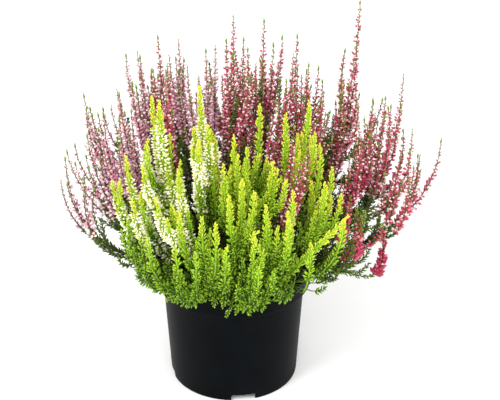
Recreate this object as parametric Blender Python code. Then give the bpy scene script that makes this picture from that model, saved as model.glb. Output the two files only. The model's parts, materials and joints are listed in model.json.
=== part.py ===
"""A potted heather: three young plants, lilac, rose and lime, in one black nursery pot.

Metres, +Z up. The origin is the centre of the pot's flat base, on the surface it stands on, and -Y faces the viewer.
Each spray is a main shoot with side shoots on it. A shoot is a slim column of three-cornered rings, each turned by
60 degrees from the last, so that every corner stands out as a bud or a leafy twig tip and the edges between them sink in.
"""

import math

import bmesh
import bpy
import numpy as np

MM = 0.001

# The pot, in millimetres
RIM_RADIUS = 70.0
POT_HEIGHT = 112.0
BAND_HEIGHT = 17.5
BAND_STEP = 5.5
BODY_TOP_RADIUS = 63.0
BASE_RADIUS = 56.5
WALL = 1.4
CHANNEL_HEIGHT = 7.0
CENTRE_PAN_RADIUS = 28.0
POT_SIDES = 28
NOTCH_WIDTH = 22.0
NOTCH_HEIGHT = 6.2
NOTCH_COUNT = 4
NOTCH_TURN = math.radians(-81.0)
DRAIN_RADIUS = 4.5
DRAIN_COUNT = 6
DRAIN_RING = 42.0

# The soil
SOIL_EDGE = 93.0
SOIL_CROWN = 98.0
CLEARANCE = 0.3
STEM_FOOT = 84.0
STEM_HOLE_RADIUS = 3.0
STEM_HOLE_SIDES = 4
DRAIN_SIDES = 6

# The shoots
RING_STEP = 8.8
LOW_STEP = 11.0
STEM_RADIUS = 1.7
SHOOT_ROOT_RADIUS = 1.1
FLOWER_RADIUS = 4.8
LEAF_RADIUS = 4.6
LIME_RADIUS = 5.2
TWIG_RADIUS = 4.6
TIP_RADIUS = 0.9
FLOWER_TAPER = 34.0
LIME_TAPER = 60.0
TWIG_TAPER = 16.0
LOW_TAPER = 13.0
PLAIN_ROOT = 8.0
PLAIN_STEM = 26.0
FOOT_SHARE = 0.24
FOOT_SPACING = 9.0
FOOT_LIMIT = 51.0
TWIG_LENGTH = 38.0
TWIG_SPREAD = 0.95
LOW_REACH = 20.0
SURFACE_JITTER = 0.25

# How the shoots are bent clear of each other
SHOOT_GAP = 1.2
BEND_ROUNDS = 300
PAIR_ROUNDS = 10
PAIR_REACH = 10.0
PUSH_SHARE = 0.4
SPRING = 0.04
STIFFNESS = 0.25
RIM_CLEARANCE = 1.6
RIM_ROUND = 3.5

# Each spray: how much of its main shoot is below the flowers, how early its shoots turn up, less for those that
# run out low, then the place of each shoot's tip in millimetres, to the right, away from the viewer and up from
# the base. The first tip ends the main shoot.
LILAC_SPRAYS = (
    (0.38, 0.16, (-150, -10, 202), (-146, -2, 221), (-128, -32, 218)),
    (0.38, 0.30, (-126, -8, 246), (-146, 18, 216), (-140, 32, 214)),
    (0.40, 0.30, (-131, 40, 260), (-112, 4, 262), (-118, 22, 236)),
    (0.40, 0.30, (-99, 22, 271), (-97, -20, 270), (-110, -38, 250)),
    (0.42, 0.30, (-81, 44, 296), (-94, 58, 290), (-88, 30, 274)),
    (0.40, 0.30, (-48, 68, 299), (-50, 48, 292), (-57, 28, 296)),
    (0.38, 0.30, (-24, 54, 297), (-16, 70, 292), (-30, 32, 282), (-42, 8, 244)),
    (0.40, 0.30, (-105, 95, 235), (-75, 115, 240), (-128, 68, 232)),
)
ROSE_SPRAYS = (
    (0.40, 0.30, (-66, 62, 306), (-71, 34, 288), (-58, 12, 290)),
    (0.40, 0.30, (0, 76, 319), (-6, 48, 310), (9, 58, 306), (14, 16, 290), (20, 30, 297)),
    (0.42, 0.30, (27, 84, 311), (35, 56, 302), (43, 74, 300), (10, 36, 258)),
    (0.40, 0.30, (52, 38, 300), (56, 64, 306), (46, 14, 288), (30, 8, 246)),
    (0.42, 0.30, (66, 50, 285), (75, 64, 275), (79, 30, 268), (86, 4, 236)),
    (0.42, 0.20, (111, 82, 330), (95, 46, 276), (109, 20, 260)),
    (0.40, 0.14, (122, 36, 258), (111, -6, 242), (134, 54, 250)),
    (0.40, 0.12, (150, 66, 266), (137, 20, 260), (153, -6, 230)),
    (0.38, 0.12, (182, 20, 226), (146, 2, 222), (152, -28, 214)),
    (0.36, 0.30, (52, -46, 276), (60, -58, 250)),
    (0.34, 0.10, (100, -56, 213), (110, -48, 190), (130, -27, 168)),
    (0.40, 0.30, (100, 112, 232), (66, 128, 238), (134, 92, 228)),
    (0.40, 0.30, (20, 136, 236), (-22, 132, 238), (-50, 120, 232)),
)
LIME_SPRAYS = (
    (0.22, 0.30, (-91, -40, 243), (-103, -46, 222), (-85, -70, 218)),
    (0.30, 0.30, (-69, -18, 288), (-62, -33, 292), (-76, -60, 244)),
    (0.30, 0.30, (-46, -64, 243), (-65, -80, 226), (-55, -90, 212)),
    (0.30, 0.30, (-28, -12, 295), (-21, -32, 268), (-28, -50, 258)),
    (0.30, 0.30, (1, -30, 256), (-8, -56, 244), (12, -42, 252)),
    (0.30, 0.30, (23, -14, 278), (34, -60, 249), (45, -76, 240)),
    (0.30, 0.30, (65, -14, 281), (45, -26, 276), (70, -34, 262)),
    (0.26, 0.20, (74, -32, 250), (78, -62, 230), (92, -56, 215)),
    (0.26, 0.30, (8, -72, 238), (-3, -88, 232), (18, -84, 234), (13, -85, 118)),
    (0.24, 0.20, (51, -86, 235), (47, -102, 218), (28, -94, 226), (34, -79, 116)),
    (0.22, 0.10, (94, -76, 202), (66, -102, 194), (34, -114, 172), (72, -54, 118)),
    (0.24, 0.10, (-26, -90, 212), (-14, -104, 214), (-5, -114, 198), (-27, -81, 116)),
    (0.24, 0.10, (-48, -104, 192), (-31, -110, 190), (-72, -88, 190), (-47, -71, 116)),
    (0.22, 0.10, (18, -108, 204), (22, -120, 182), (-6, -87, 111)),
    (0.20, 0.10, (-91, -46, 166), (-82, -64, 146), (-64, -60, 118)),
    (0.20, 0.10, (86, -54, 154), (84, -38, 110), (57, -66, 117)),
)

RANDOM = np.random.default_rng(11)

GREEN = (0.10, 0.22, 0.03)
LILAC = (0.62, 0.24, 0.42)
ROSE = (0.50, 0.07, 0.16)
LIME = (0.47, 0.60, 0.05)
POT_BLACK = (0.012, 0.013, 0.014)
PEAT = (0.030, 0.018, 0.010)


def material(name, colour, roughness):
    """A Principled BSDF in one colour."""
    made = bpy.data.materials.new(name)
    made.use_nodes = True
    shader = made.node_tree.nodes["Principled BSDF"]
    shader.inputs["Base Color"].default_value = (*colour, 1.0)
    shader.inputs["Roughness"].default_value = roughness
    made.diffuse_color = (*colour, 1.0)
    return made


def mesh_object(name, points_mm, faces, finish):
    """A mesh object from points in millimetres, with its faces turned outwards."""
    mesh = bpy.data.meshes.new(name)
    mesh.from_pydata((np.asarray(points_mm) * MM).tolist(), [], faces)
    edit = bmesh.new()
    edit.from_mesh(mesh)
    bmesh.ops.recalc_face_normals(edit, faces=edit.faces)
    bmesh.ops.triangulate(edit, faces=edit.faces)
    edit.to_mesh(mesh)
    edit.free()
    made = bpy.data.objects.new(name, mesh)
    bpy.context.scene.collection.objects.link(made)
    if finish is not None:
        mesh.materials.append(finish)
    return made


def turned(name, profile, sides, finish, lumps=0.0):
    """A turned solid. The profile is (radius, height) pairs and starts and ends on the axis."""
    points, rings = [], []
    for radius, height in profile:
        count = 1 if radius == 0 else sides
        first = len(points)
        for k in range(count):
            angle = 2 * math.pi * (k + 0.5) / sides
            lift = lumps * RANDOM.uniform(-1, 1) if lumps and height > SOIL_EDGE else 0.0
            points.append((radius * math.cos(angle), radius * math.sin(angle), height + lift))
        rings.append(list(range(first, first + count)))
    faces = []
    for low, high in zip(rings, rings[1:]):
        for k in range(sides):
            after = (k + 1) % sides
            corners = [low[k % len(low)], low[after % len(low)], high[after % len(high)], high[k % len(high)]]
            faces.append(list(dict.fromkeys(corners)))
    return mesh_object(name, points, faces, finish)


def prism(name, outline, low, high):
    """A cutter: an outline in plan, drawn up from one height to another. It isn't part of the model."""
    count = len(outline)
    points = [(x, y, low) for x, y in outline] + [(x, y, high) for x, y in outline]
    faces = [list(range(count)), list(range(count, 2 * count))]
    faces += [[k, (k + 1) % count, count + (k + 1) % count, count + k] for k in range(count)]
    return mesh_object(name, points, faces, None)


def combine(obj, others, operation):
    """Applies one Boolean between obj and a collection of others, and removes them."""
    group = bpy.data.collections.new("operands")
    for other in others:
        group.objects.link(other)
    change = obj.modifiers.new("combine", "BOOLEAN")
    change.operation = operation
    change.operand_type = "COLLECTION"
    change.collection = group
    change.solver = "EXACT"
    graph = bpy.context.evaluated_depsgraph_get()
    finished = bpy.data.meshes.new_from_object(obj.evaluated_get(graph))
    obj.modifiers.clear()
    before = obj.data
    obj.data = finished
    bpy.data.meshes.remove(before)
    for other in others:
        bpy.data.objects.remove(other)
    bpy.data.collections.remove(group)
    return obj


def regular(radius, sides, x=0.0, y=0.0):
    """The corners of a regular polygon."""
    turns = [2 * math.pi * k / sides for k in range(sides)]
    return [(x + radius * math.cos(t), y + radius * math.sin(t)) for t in turns]


def make_pot(finish):
    """The nursery pot: a tapered wall under a stepped rim band, on a ring foot with notches and a raised drain channel."""
    band_foot = POT_HEIGHT - BAND_HEIGHT
    band_radius = BODY_TOP_RADIUS + BAND_STEP
    taper = (BODY_TOP_RADIUS - BASE_RADIUS) / band_foot
    floor = CHANNEL_HEIGHT + WALL
    profile = [
        (0, 0),
        (CENTRE_PAN_RADIUS, 0),
        (CENTRE_PAN_RADIUS + 3, CHANNEL_HEIGHT),
        (BASE_RADIUS - 3.2, CHANNEL_HEIGHT),
        (BASE_RADIUS - 2.4, 0),
        (BASE_RADIUS - 0.8, 0),
        (BASE_RADIUS, 1.6),
        (BODY_TOP_RADIUS, band_foot),
        (band_radius, band_foot + 0.5),
        (RIM_RADIUS - 0.3, POT_HEIGHT - 1.2),
        (RIM_RADIUS, POT_HEIGHT),
        (RIM_RADIUS - WALL, POT_HEIGHT),
        (band_radius - WALL, band_foot + 1.8),
        (BODY_TOP_RADIUS - WALL, band_foot + 1.3),
        (BASE_RADIUS + taper * floor - WALL, floor),
        (CENTRE_PAN_RADIUS + 2.1, floor),
        (CENTRE_PAN_RADIUS - 0.9, WALL),
        (0, WALL),
    ]
    pot = turned("pot", profile, POT_SIDES, finish)
    cutters = []
    half, corner = NOTCH_WIDTH / 2, 1.6
    outline = [
        (-half, -1), (half, -1), (half, NOTCH_HEIGHT - corner),
        (half - corner, NOTCH_HEIGHT), (corner - half, NOTCH_HEIGHT), (-half, NOTCH_HEIGHT - corner),
    ]
    for k in range(NOTCH_COUNT):
        notch = prism(f"notch_{k}", outline, BASE_RADIUS - 8, BASE_RADIUS + 4)
        # The prism is drawn along +Z, so it is tipped over to lie outwards along +X with its width across.
        turn = NOTCH_TURN + 2 * math.pi * k / NOTCH_COUNT
        for vertex in notch.data.vertices:
            across, up, out = vertex.co
            vertex.co = (
                out * math.cos(turn) - across * math.sin(turn),
                out * math.sin(turn) + across * math.cos(turn),
                up,
            )
        cutters.append(notch)
    for k in range(DRAIN_COUNT):
        turn = 2 * math.pi * (k + 0.5) / DRAIN_COUNT
        place = (DRAIN_RING * math.cos(turn), DRAIN_RING * math.sin(turn))
        hole = regular(DRAIN_RADIUS, DRAIN_SIDES, *place)
        cutters.append(prism(f"drain_{k}", hole, CHANNEL_HEIGHT - 2, CHANNEL_HEIGHT + WALL + 2))
    combine(pot, cutters, "DIFFERENCE")
    pot.data.shade_smooth()
    pot.data.set_sharp_from_angle(angle=math.radians(35))
    return pot


def make_soil(feet, finish):
    """The peat that fills the pot, with a plain hole for each stem."""
    band_foot = POT_HEIGHT - BAND_HEIGHT
    taper = (BODY_TOP_RADIUS - BASE_RADIUS) / band_foot
    floor = CHANNEL_HEIGHT + WALL + CLEARANCE
    inset = WALL + CLEARANCE
    profile = [
        (0, WALL + CLEARANCE),
        (CENTRE_PAN_RADIUS - 1.2, WALL + CLEARANCE),
        (CENTRE_PAN_RADIUS + 1.8, floor),
        (BASE_RADIUS + taper * floor - inset - 0.1, floor),
        (BASE_RADIUS + taper * SOIL_EDGE - inset, SOIL_EDGE),
        (40, SOIL_EDGE + 3),
        (0, SOIL_CROWN),
    ]
    soil = turned("soil", profile, POT_SIDES, finish, lumps=1.0)
    cutters = []
    for k, (x, y) in enumerate(feet):
        hole = regular(STEM_HOLE_RADIUS, STEM_HOLE_SIDES, x, y)
        cutters.append(prism(f"stem_hole_{k}", hole, STEM_FOOT - CLEARANCE, SOIL_CROWN + 12))
    return combine(soil, cutters, "DIFFERENCE")


def unit(vector):
    return vector / np.linalg.norm(vector)


def spread_feet(wanted):
    """Moves the stems' feet apart on the soil until each has room for its hole."""
    feet = np.array(wanted, float)
    for _ in range(400):
        apart = feet[:, None] - feet[None]
        distance = np.linalg.norm(apart, axis=2) + 1e-9
        short = np.clip(FOOT_SPACING - distance, 0, None)
        np.fill_diagonal(short, 0)
        feet += 0.4 * (apart / distance[..., None] * short[..., None]).sum(1)
        reach = np.linalg.norm(feet, axis=1)
        feet *= np.minimum(1, FOOT_LIMIT / np.maximum(reach, 1e-9))[:, None]
    return feet


def curve(start, middle, end, step):
    """Points half a step apart on the curve that leaves start towards middle and reaches end from it.

    Every second point gets a ring. Those between only help to keep the shoots apart.
    """
    share = np.linspace(0, 1, 81)[:, None]
    line = (1 - share) ** 2 * start + 2 * share * (1 - share) * middle + share**2 * end
    run = lengths(line)
    count = 2 * max(2, round(run[-1] / step)) + 1
    places = np.linspace(0, run[-1], count)
    return np.stack([np.interp(places, run, line[:, k]) for k in range(3)], 1)


def main_shoot(foot, tip, bare_share, rise):
    """The main shoot: upright in its hole, out over the pot, then up to its tip. Its rings are closer in the flowers."""
    base = np.array([*foot, STEM_FOOT])
    collar = np.array([*foot, SOIL_CROWN + 4])
    tip = np.array(tip, float)
    out = 1.05 - 0.5 * rise
    middle = collar + (tip - collar) * np.array([out, out, rise])
    middle[2] = max(middle[2], POT_HEIGHT + 14)
    line = curve(collar, middle, tip, 1.0)
    run = lengths(line)
    fork = bare_share * run[-1]
    low = np.linspace(0, fork, 2 * max(3, round(fork / LOW_STEP)) + 1)
    high = np.linspace(fork, run[-1], 2 * round((run[-1] - fork) / RING_STEP) + 1)
    places = np.concatenate([low, high[1:]])
    above = np.stack([np.interp(places, run, line[:, k]) for k in range(3)], 1)
    buried = np.linspace(base, collar, 5)[:-1]
    return np.concatenate([buried, above]), len(buried) + len(low) - 1


def side_shoot(root, tip, rise):
    """A side shoot: out from the main shoot first, then up beside it. A low tip is reached over an arch."""
    tip = np.array(tip, float)
    reach = tip - root
    if reach[2] < 0.2 * np.linalg.norm(reach[:2]):
        middle = root + np.array([reach[0] * 0.6, reach[1] * 0.6, abs(reach[2]) * 0.25 + 12])
    else:
        out = 1.04 - 0.4 * rise
        middle = root + reach * np.array([out, out, 1.2 * rise])
    return curve(root, middle, tip, RING_STEP)


def twig(root, turn, length):
    """A short leafy side shoot, out from a stem and bent upwards."""
    out = np.array([math.cos(turn), math.sin(turn), 0.0])
    end = root + length * (0.85 * out + [0, 0, 0.5])
    return curve(root, root + length * 0.6 * out, end, RING_STEP)


def girth(run, full, plain, taper, root):
    """The ring radius along a shoot: plain at its root, full where buds or leaves cover it, and slim at its tip."""
    rise = np.clip((run - plain) / RING_STEP, 0, 1)
    fall = np.clip((run[-1] - run) / taper, 0, 1) ** 0.7
    covered = TIP_RADIUS + (full - TIP_RADIUS) * fall
    return root + (covered - root) * rise


def lengths(points):
    """The distance run along a line of points."""
    return np.concatenate([[0], np.cumsum(np.linalg.norm(np.diff(points, axis=0), axis=1))])


class Shoot:
    """One shoot: its points, ring radii, and where it leaves its spray's main shoot."""

    def __init__(self, points, radius, parent=None, parent_row=0):
        self.points = points
        self.radius = radius
        self.parent = parent
        self.parent_row = parent_row


def grow_sprays(rows, kind, feet):
    """The shoots of each spray, main one first, before they are bent clear."""
    full, taper = (LIME_RADIUS, LIME_TAPER) if kind == "lime" else (FLOWER_RADIUS, FLOWER_TAPER)
    sprays = []
    for (bare_share, rise, *tips), foot in zip(rows, feet):
        line, fork = main_shoot(foot, tips[0], bare_share, rise)
        run = lengths(line)
        radius = girth(run, full, PLAIN_STEM, taper, STEM_RADIUS)
        if kind != "lime":
            marks = [0, PLAIN_STEM, PLAIN_STEM + LOW_STEP, run[fork] - LOW_STEP, run[fork]]
            sizes = [STEM_RADIUS, STEM_RADIUS, LEAF_RADIUS, LEAF_RADIUS, STEM_RADIUS]
            radius[: fork + 1] = np.interp(run[: fork + 1], marks, sizes)
        main = Shoot(line, radius)
        shoots = [main]
        for number, tip in enumerate(tips[1:]):
            low = tip[2] < line[fork][2] + LOW_REACH
            row = fork if low else fork + 2 + 2 * number
            path = side_shoot(line[row], tip, rise)
            sizes = girth(lengths(path), full, PLAIN_ROOT, LOW_TAPER if low else taper, SHOOT_ROOT_RADIUS)
            shoots.append(Shoot(path, sizes, main, row))
        outwards = math.atan2(line[fork][1], line[fork][0])
        for number, side in enumerate((1, -1)):
            row = fork - 2 * number - (0 if kind == "lime" else 2)
            path = twig(line[row], outwards + side * TWIG_SPREAD, TWIG_LENGTH)
            sizes = girth(lengths(path), TWIG_RADIUS, RING_STEP / 2, TWIG_TAPER, SHOOT_ROOT_RADIUS)
            shoots.append(Shoot(path, sizes, main, row))
        sprays.append({"kind": kind, "shoots": shoots, "fork": fork})
    return sprays


def near_in_tree(spray, parent_depth, depth, radius):
    """Pairs of points of one spray that lie so near along the stems that they may touch."""
    same = spray[:, None] == spray[None]
    meet = np.minimum(parent_depth[:, None], parent_depth[None])
    apart = depth[:, None] + depth[None] - 2 * meet
    return same & (apart < 3.2 * (radius[:, None] + radius[None]) + RING_STEP)


def close_pairs(points, need):
    """The pairs of points that are near enough to be watched for a while."""
    place = points.astype(np.float32)
    square = (place**2).sum(1)
    distance = square[:, None] + square[None] - 2 * place @ place.T
    return np.nonzero((need > 0) & (distance < (need + PAIR_REACH) ** 2))


def gathered(pushes, rows, count):
    """Adds up the pushes on each point."""
    return np.stack([np.bincount(rows, pushes[:, k], count) for k in range(3)], 1)


def bend_clear(sprays):
    """Pushes the shoots apart until none touches another, the soil or the pot's rim.

    Each point counts as a ball. The pushes are smoothed along the shoots and keep their lengths, so that they bend
    and neither kink nor stretch.
    """
    shoots = [shoot for spray in sprays for shoot in spray["shoots"]]
    number = {id(shoot): k for k, shoot in enumerate(shoots)}
    first = np.cumsum([0] + [len(shoot.points) for shoot in shoots])
    home = np.concatenate([shoot.points for shoot in shoots])
    radius = np.concatenate([shoot.radius for shoot in shoots])
    count = len(home)
    spray_of, depth, meet = [], [], []
    for n, spray in enumerate(sprays):
        for shoot in spray["shoots"]:
            run = lengths(shoot.points)
            start = 0.0 if shoot.parent is None else lengths(shoot.parent.points)[shoot.parent_row]
            spray_of.append(np.full(len(run), n))
            depth.append(run + start)
            meet.append(run if shoot.parent is None else np.full(len(run), start))
    spray_of, depth, meet = (np.concatenate(values) for values in (spray_of, depth, meet))
    shoot_of = np.repeat(np.arange(len(shoots)), np.diff(first))
    free = near_in_tree(spray_of, meet, depth, radius)
    free |= (shoot_of[:, None] == shoot_of[None]) & (np.abs(depth[:, None] - depth[None]) < 4 * RING_STEP)
    need = (radius[:, None] + radius[None] + SHOOT_GAP).astype(np.float32)
    need[free] = -1
    need[np.tril_indices(count)] = -1
    fixed = (home[:, 2] < SOIL_CROWN + 6) & (meet == depth)
    before, after = np.arange(count) - 1, np.arange(count) + 1
    before[first[:-1]] = first[:-1]
    after[first[1:] - 1] = first[1:] - 1
    rest = np.linalg.norm(home[after] - home, axis=1)
    children = [k for k, shoot in enumerate(shoots) if shoot.parent]
    root = first[children]
    joint = np.array([first[number[id(shoots[k].parent)]] + shoots[k].parent_row for k in children])
    points = home.copy()
    for turn in range(BEND_ROUNDS):
        if turn % PAIR_ROUNDS == 0:
            a, b = close_pairs(points, need)
        apart = points[a] - points[b]
        distance = np.linalg.norm(apart, axis=1) + 1e-9
        short = np.clip(need[a, b] - distance, 0, None)
        move = apart / distance[:, None] * (short * PUSH_SHARE)[:, None]
        push = gathered(move, a, count) - gathered(move, b, count) + push_from_pot(points, radius)
        for _ in range(2):
            push = 0.5 * push + 0.25 * (push[before] + push[after])
        moved = points + push - home
        fade = max(0.0, 1 - turn / (0.7 * BEND_ROUNDS))
        smooth = 0.5 * (moved[before] + moved[after])
        moved += STIFFNESS * (0.1 + 0.9 * fade) * (smooth - moved) - SPRING * fade * moved
        moved[fixed] = 0
        points = home + moved
        stretch = points[after] - points
        length = np.linalg.norm(stretch, axis=1) + 1e-9
        pull = np.where(rest > 0, 0.25 * (1 - rest / length), 0)[:, None] * stretch
        points += pull - gathered(pull, after, count)
        points[fixed] = home[fixed]
        points[root] = points[joint]
    for k, shoot in enumerate(shoots):
        shoot.points = points[first[k] : first[k + 1]]
    return float(short.max())


def push_from_pot(points, radius):
    """The push that keeps shoots above the soil and clear of the rim band, which counts as a round lip."""
    push = np.zeros_like(points)
    out = np.linalg.norm(points[:, :2], axis=1) + 1e-9
    wall = RIM_RADIUS - WALL / 2
    nearest_height = np.minimum(points[:, 2], POT_HEIGHT - RIM_ROUND)
    gap_out, gap_up = out - wall, points[:, 2] - nearest_height
    gap = np.hypot(gap_out, gap_up) + 1e-9
    short = np.clip(radius + RIM_CLEARANCE + RIM_ROUND - gap, 0, None)
    push[:, 2] += short * gap_up / gap
    push[:, :2] += points[:, :2] / out[:, None] * (short * gap_out / gap)[:, None]
    inside = (out < wall) & (radius > STEM_RADIUS + 0.2)
    push[:, 2] += np.where(inside, np.clip(SOIL_CROWN + 2 + radius - points[:, 2], 0, None), 0)
    return push


def directions(points):
    """The direction of a line of points at each of them."""
    ahead = np.gradient(points, axis=0)
    return ahead / np.linalg.norm(ahead, axis=1)[:, None]


def column(name, points, radius, phase, ahead=None):
    """A shoot's column: three corners a ring, each ring turned by 60 degrees, so that every corner is a bud."""
    ahead = directions(points) if ahead is None else ahead
    side = np.cross(ahead[0], [0.3, 0.9, 0.2])
    corners = []
    for k, (centre, forward, size) in enumerate(zip(points, ahead, radius)):
        side = unit(side - forward * (side @ forward))
        other = np.cross(forward, side)
        for c in range(3):
            turn = phase + math.pi * k / 3 + 2 * math.pi * c / 3
            jitter = 1 - (SURFACE_JITTER * RANDOM.random() if size > 2.2 else 0)
            corners.append(centre + size * jitter * (math.cos(turn) * side + math.sin(turn) * other))
    corners.append(points[-1] + ahead[-1] * 1.8 * radius[-1])
    faces = [[0, 2, 1]]
    for k in range(len(points) - 1):
        low, high = 3 * k, 3 * (k + 1)
        for c in range(3):
            # Corner c of the next ring stands over the middle of the edge from c to c + 1 of this one.
            faces.append([low + c, low + (c + 1) % 3, high + c])
            faces.append([low + (c + 1) % 3, high + (c + 1) % 3, high + c])
    last = 3 * (len(points) - 1)
    faces += [[last + c, last + (c + 1) % 3, last + 3] for c in range(3)]
    return mesh_object(name, corners, faces, None)


def drop_scraps(obj):
    """Keeps the largest closed shell of a mesh, without the scraps that a fusing may leave."""
    edit = bmesh.new()
    edit.from_mesh(obj.data)
    left, shells = set(edit.verts), []
    while left:
        shell, edge = set(), [left.pop()]
        while edge:
            vertex = edge.pop()
            shell.add(vertex)
            near = {e.other_vert(vertex) for e in vertex.link_edges} & left
            left -= near
            edge += near
        shells.append(shell)
    shells.sort(key=len)
    for shell in shells[:-1]:
        print(obj.name, "drops a scrap of", len(shell), "points")
        bmesh.ops.delete(edit, geom=list(shell), context="VERTS")
    edit.to_mesh(obj.data)
    edit.free()


def joined(name, columns, finish):
    """One node: the first column with the others fused into it."""
    node = columns[0]
    node.name = name
    if len(columns) > 1:
        combine(node, columns[1:], "UNION")
        drop_scraps(node)
    node.data.materials.clear()
    node.data.materials.append(finish)
    return node


def make_spray(name, spray, leafy, flowering):
    """The nodes of one spray: all in one for lime, and otherwise the leafy stem and the flower spikes on it."""
    main, *sides = spray["shoots"]
    fork = spray["fork"]
    if spray["kind"] == "lime":
        parts = [column(f"{name}_{k}", s.points[::2], s.radius[::2], k) for k, s in enumerate(spray["shoots"])]
        joined(name, parts, flowering)
        return
    rings, radius = main.points[::2], main.radius[::2]
    ahead = directions(rings)
    top = fork // 2
    # The stem ends a clearance short of the first ring of the flowers, in a plane parallel to it.
    low = rings[: top + 1].copy()
    low[top] -= ahead[top] * CLEARANCE
    stem = [flat_top(column(f"{name}_stem_0", low, radius[: top + 1], 0.0, ahead[: top + 1]))]
    spikes = [column(f"{name}_spike_0", rings[top:], radius[top:], 0.5, ahead[top:])]
    for k, s in enumerate(sides, 1):
        group = spikes if s.parent_row > fork else stem
        group.append(column(f"{name}_part_{k}", s.points[::2], s.radius[::2], k))
    joined(f"{name}_stem", stem, leafy)
    joined(f"{name}_spikes", spikes, flowering)


def flat_top(obj):
    """Draws a column's end point back into the plane of its last ring."""
    points = obj.data.vertices
    last = len(points) - 1
    centre = sum((points[k].co for k in range(last - 3, last)), points[last].co * 0) / 3
    points[last].co = centre
    return obj


def main():
    for obj in list(bpy.data.objects):
        bpy.data.objects.remove(obj)
    black = material("black_plastic", POT_BLACK, 0.45)
    peat = material("peat", PEAT, 0.95)
    green = material("heather_leaf", GREEN, 0.6)
    plants = (
        ("lilac", LILAC_SPRAYS, material("lilac_buds", LILAC, 0.6)),
        ("rose", ROSE_SPRAYS, material("rose_buds", ROSE, 0.6)),
        ("lime", LIME_SPRAYS, material("lime_shoots", LIME, 0.6)),
    )
    wanted = []
    for _, rows, _ in plants:
        wanted += [FOOT_SHARE * np.mean([tip[:2] for tip in row[2:]], axis=0) for row in rows]
    feet = spread_feet(wanted)
    sprays, used = [], 0
    for kind, rows, _ in plants:
        sprays += grow_sprays(rows, kind, feet[used : used + len(rows)])
        used += len(rows)
    left = bend_clear(sprays)
    print(f"shoots bent clear, {left:.2f} mm short at most")
    make_pot(black)
    make_soil(feet, peat)
    finish = {kind: colour for kind, _, colour in plants}
    count = dict.fromkeys(finish, 0)
    for spray in sprays:
        kind = spray["kind"]
        count[kind] += 1
        make_spray(f"{kind}_{count[kind]:02d}", spray, green, finish[kind])


main()
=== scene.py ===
import json
import math

import bmesh
import bpy
import numpy as np
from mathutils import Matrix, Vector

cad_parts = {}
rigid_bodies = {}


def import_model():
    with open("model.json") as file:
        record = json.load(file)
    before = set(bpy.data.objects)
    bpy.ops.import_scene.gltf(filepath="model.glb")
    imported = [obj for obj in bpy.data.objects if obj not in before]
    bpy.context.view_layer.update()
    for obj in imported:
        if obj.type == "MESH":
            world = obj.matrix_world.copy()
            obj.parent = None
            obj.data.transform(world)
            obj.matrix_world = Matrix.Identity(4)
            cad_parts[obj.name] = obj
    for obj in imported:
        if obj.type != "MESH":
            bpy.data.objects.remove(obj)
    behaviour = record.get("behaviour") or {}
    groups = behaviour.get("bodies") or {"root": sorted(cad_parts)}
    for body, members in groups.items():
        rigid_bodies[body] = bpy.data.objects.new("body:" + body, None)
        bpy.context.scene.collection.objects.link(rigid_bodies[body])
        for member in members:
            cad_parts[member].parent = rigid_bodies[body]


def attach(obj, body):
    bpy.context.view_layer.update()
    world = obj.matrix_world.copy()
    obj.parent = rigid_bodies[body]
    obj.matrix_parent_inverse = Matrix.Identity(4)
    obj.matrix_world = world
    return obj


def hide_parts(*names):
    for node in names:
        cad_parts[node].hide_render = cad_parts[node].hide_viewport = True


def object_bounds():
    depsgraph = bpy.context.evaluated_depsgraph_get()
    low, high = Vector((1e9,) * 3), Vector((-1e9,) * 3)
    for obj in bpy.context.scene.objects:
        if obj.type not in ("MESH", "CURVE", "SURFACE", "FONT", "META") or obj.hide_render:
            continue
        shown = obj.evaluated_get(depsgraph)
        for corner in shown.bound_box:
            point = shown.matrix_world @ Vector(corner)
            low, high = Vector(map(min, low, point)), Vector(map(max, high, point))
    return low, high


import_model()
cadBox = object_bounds()

# Lengths in the layout and the settings are millimetres, and meshes are made in metres.
mm = 0.001

potShape = {
    "rimRadius": 70.0, "height": 112.0, "bandHeight": 17.5, "bandStep": 5.5, "bodyTopRadius": 63.0,
    "baseRadius": 56.5, "wall": 1.4, "channelHeight": 7.0, "panRadius": 28.0, "notchWidth": 22.0,
    "notchHeight": 6.2, "notchCount": 4, "notchTurn": math.radians(-81.0), "drainRadius": 4.5,
    "drainCount": 6, "drainRing": 42.0, "segments": 192,
}

soilShape = {
    "edge": 93.0, "crown": 98.0, "clearance": 0.3, "stemFoot": 84.0, "segments": 180, "rings": 44,
    "lump": 1.1, "crumbs": 420,
}

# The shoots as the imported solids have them: sizes of the columns, and how they are kept apart.
growth = {
    "ringStep": 8.8, "lowStep": 11.0, "stemRadius": 1.7, "rootRadius": 1.1, "flowerRadius": 4.8,
    "leafRadius": 4.6, "limeRadius": 5.2, "twigRadius": 4.6, "tipRadius": 0.9, "flowerTaper": 34.0,
    "limeTaper": 60.0, "twigTaper": 16.0, "lowTaper": 13.0, "plainRoot": 8.0, "plainStem": 26.0,
    "footShare": 0.24, "footSpacing": 9.0, "footLimit": 51.0, "footRounds": 400, "footPush": 0.4,
    "collar": 4.0, "overRim": 14.0, "curvePoints": 81, "twigLength": 38.0, "twigSpread": 0.95,
    "lowReach": 20.0, "gap": 1.2, "rounds": 300, "pairRounds": 10, "pairReach": 10.0, "pushShare": 0.4,
    "freeShare": 3.2, "freeSteps": 4, "fixedBelow": 6.0, "fadeShare": 0.7, "spring": 0.04,
    "stiffness": 0.25, "rimClearance": 1.6, "rimRound": 3.5, "mainOut": 1.05, "mainEarly": 0.5,
    "sideOut": 1.04, "sideEarly": 0.4, "sideRise": 1.2, "levelBelow": 0.2, "levelOut": 0.6,
    "levelRise": 0.25, "levelUp": 12, "twigOut": 0.85, "twigRise": 0.5, "twigMiddle": 0.6, "fallPower": 0.7,
}

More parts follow.
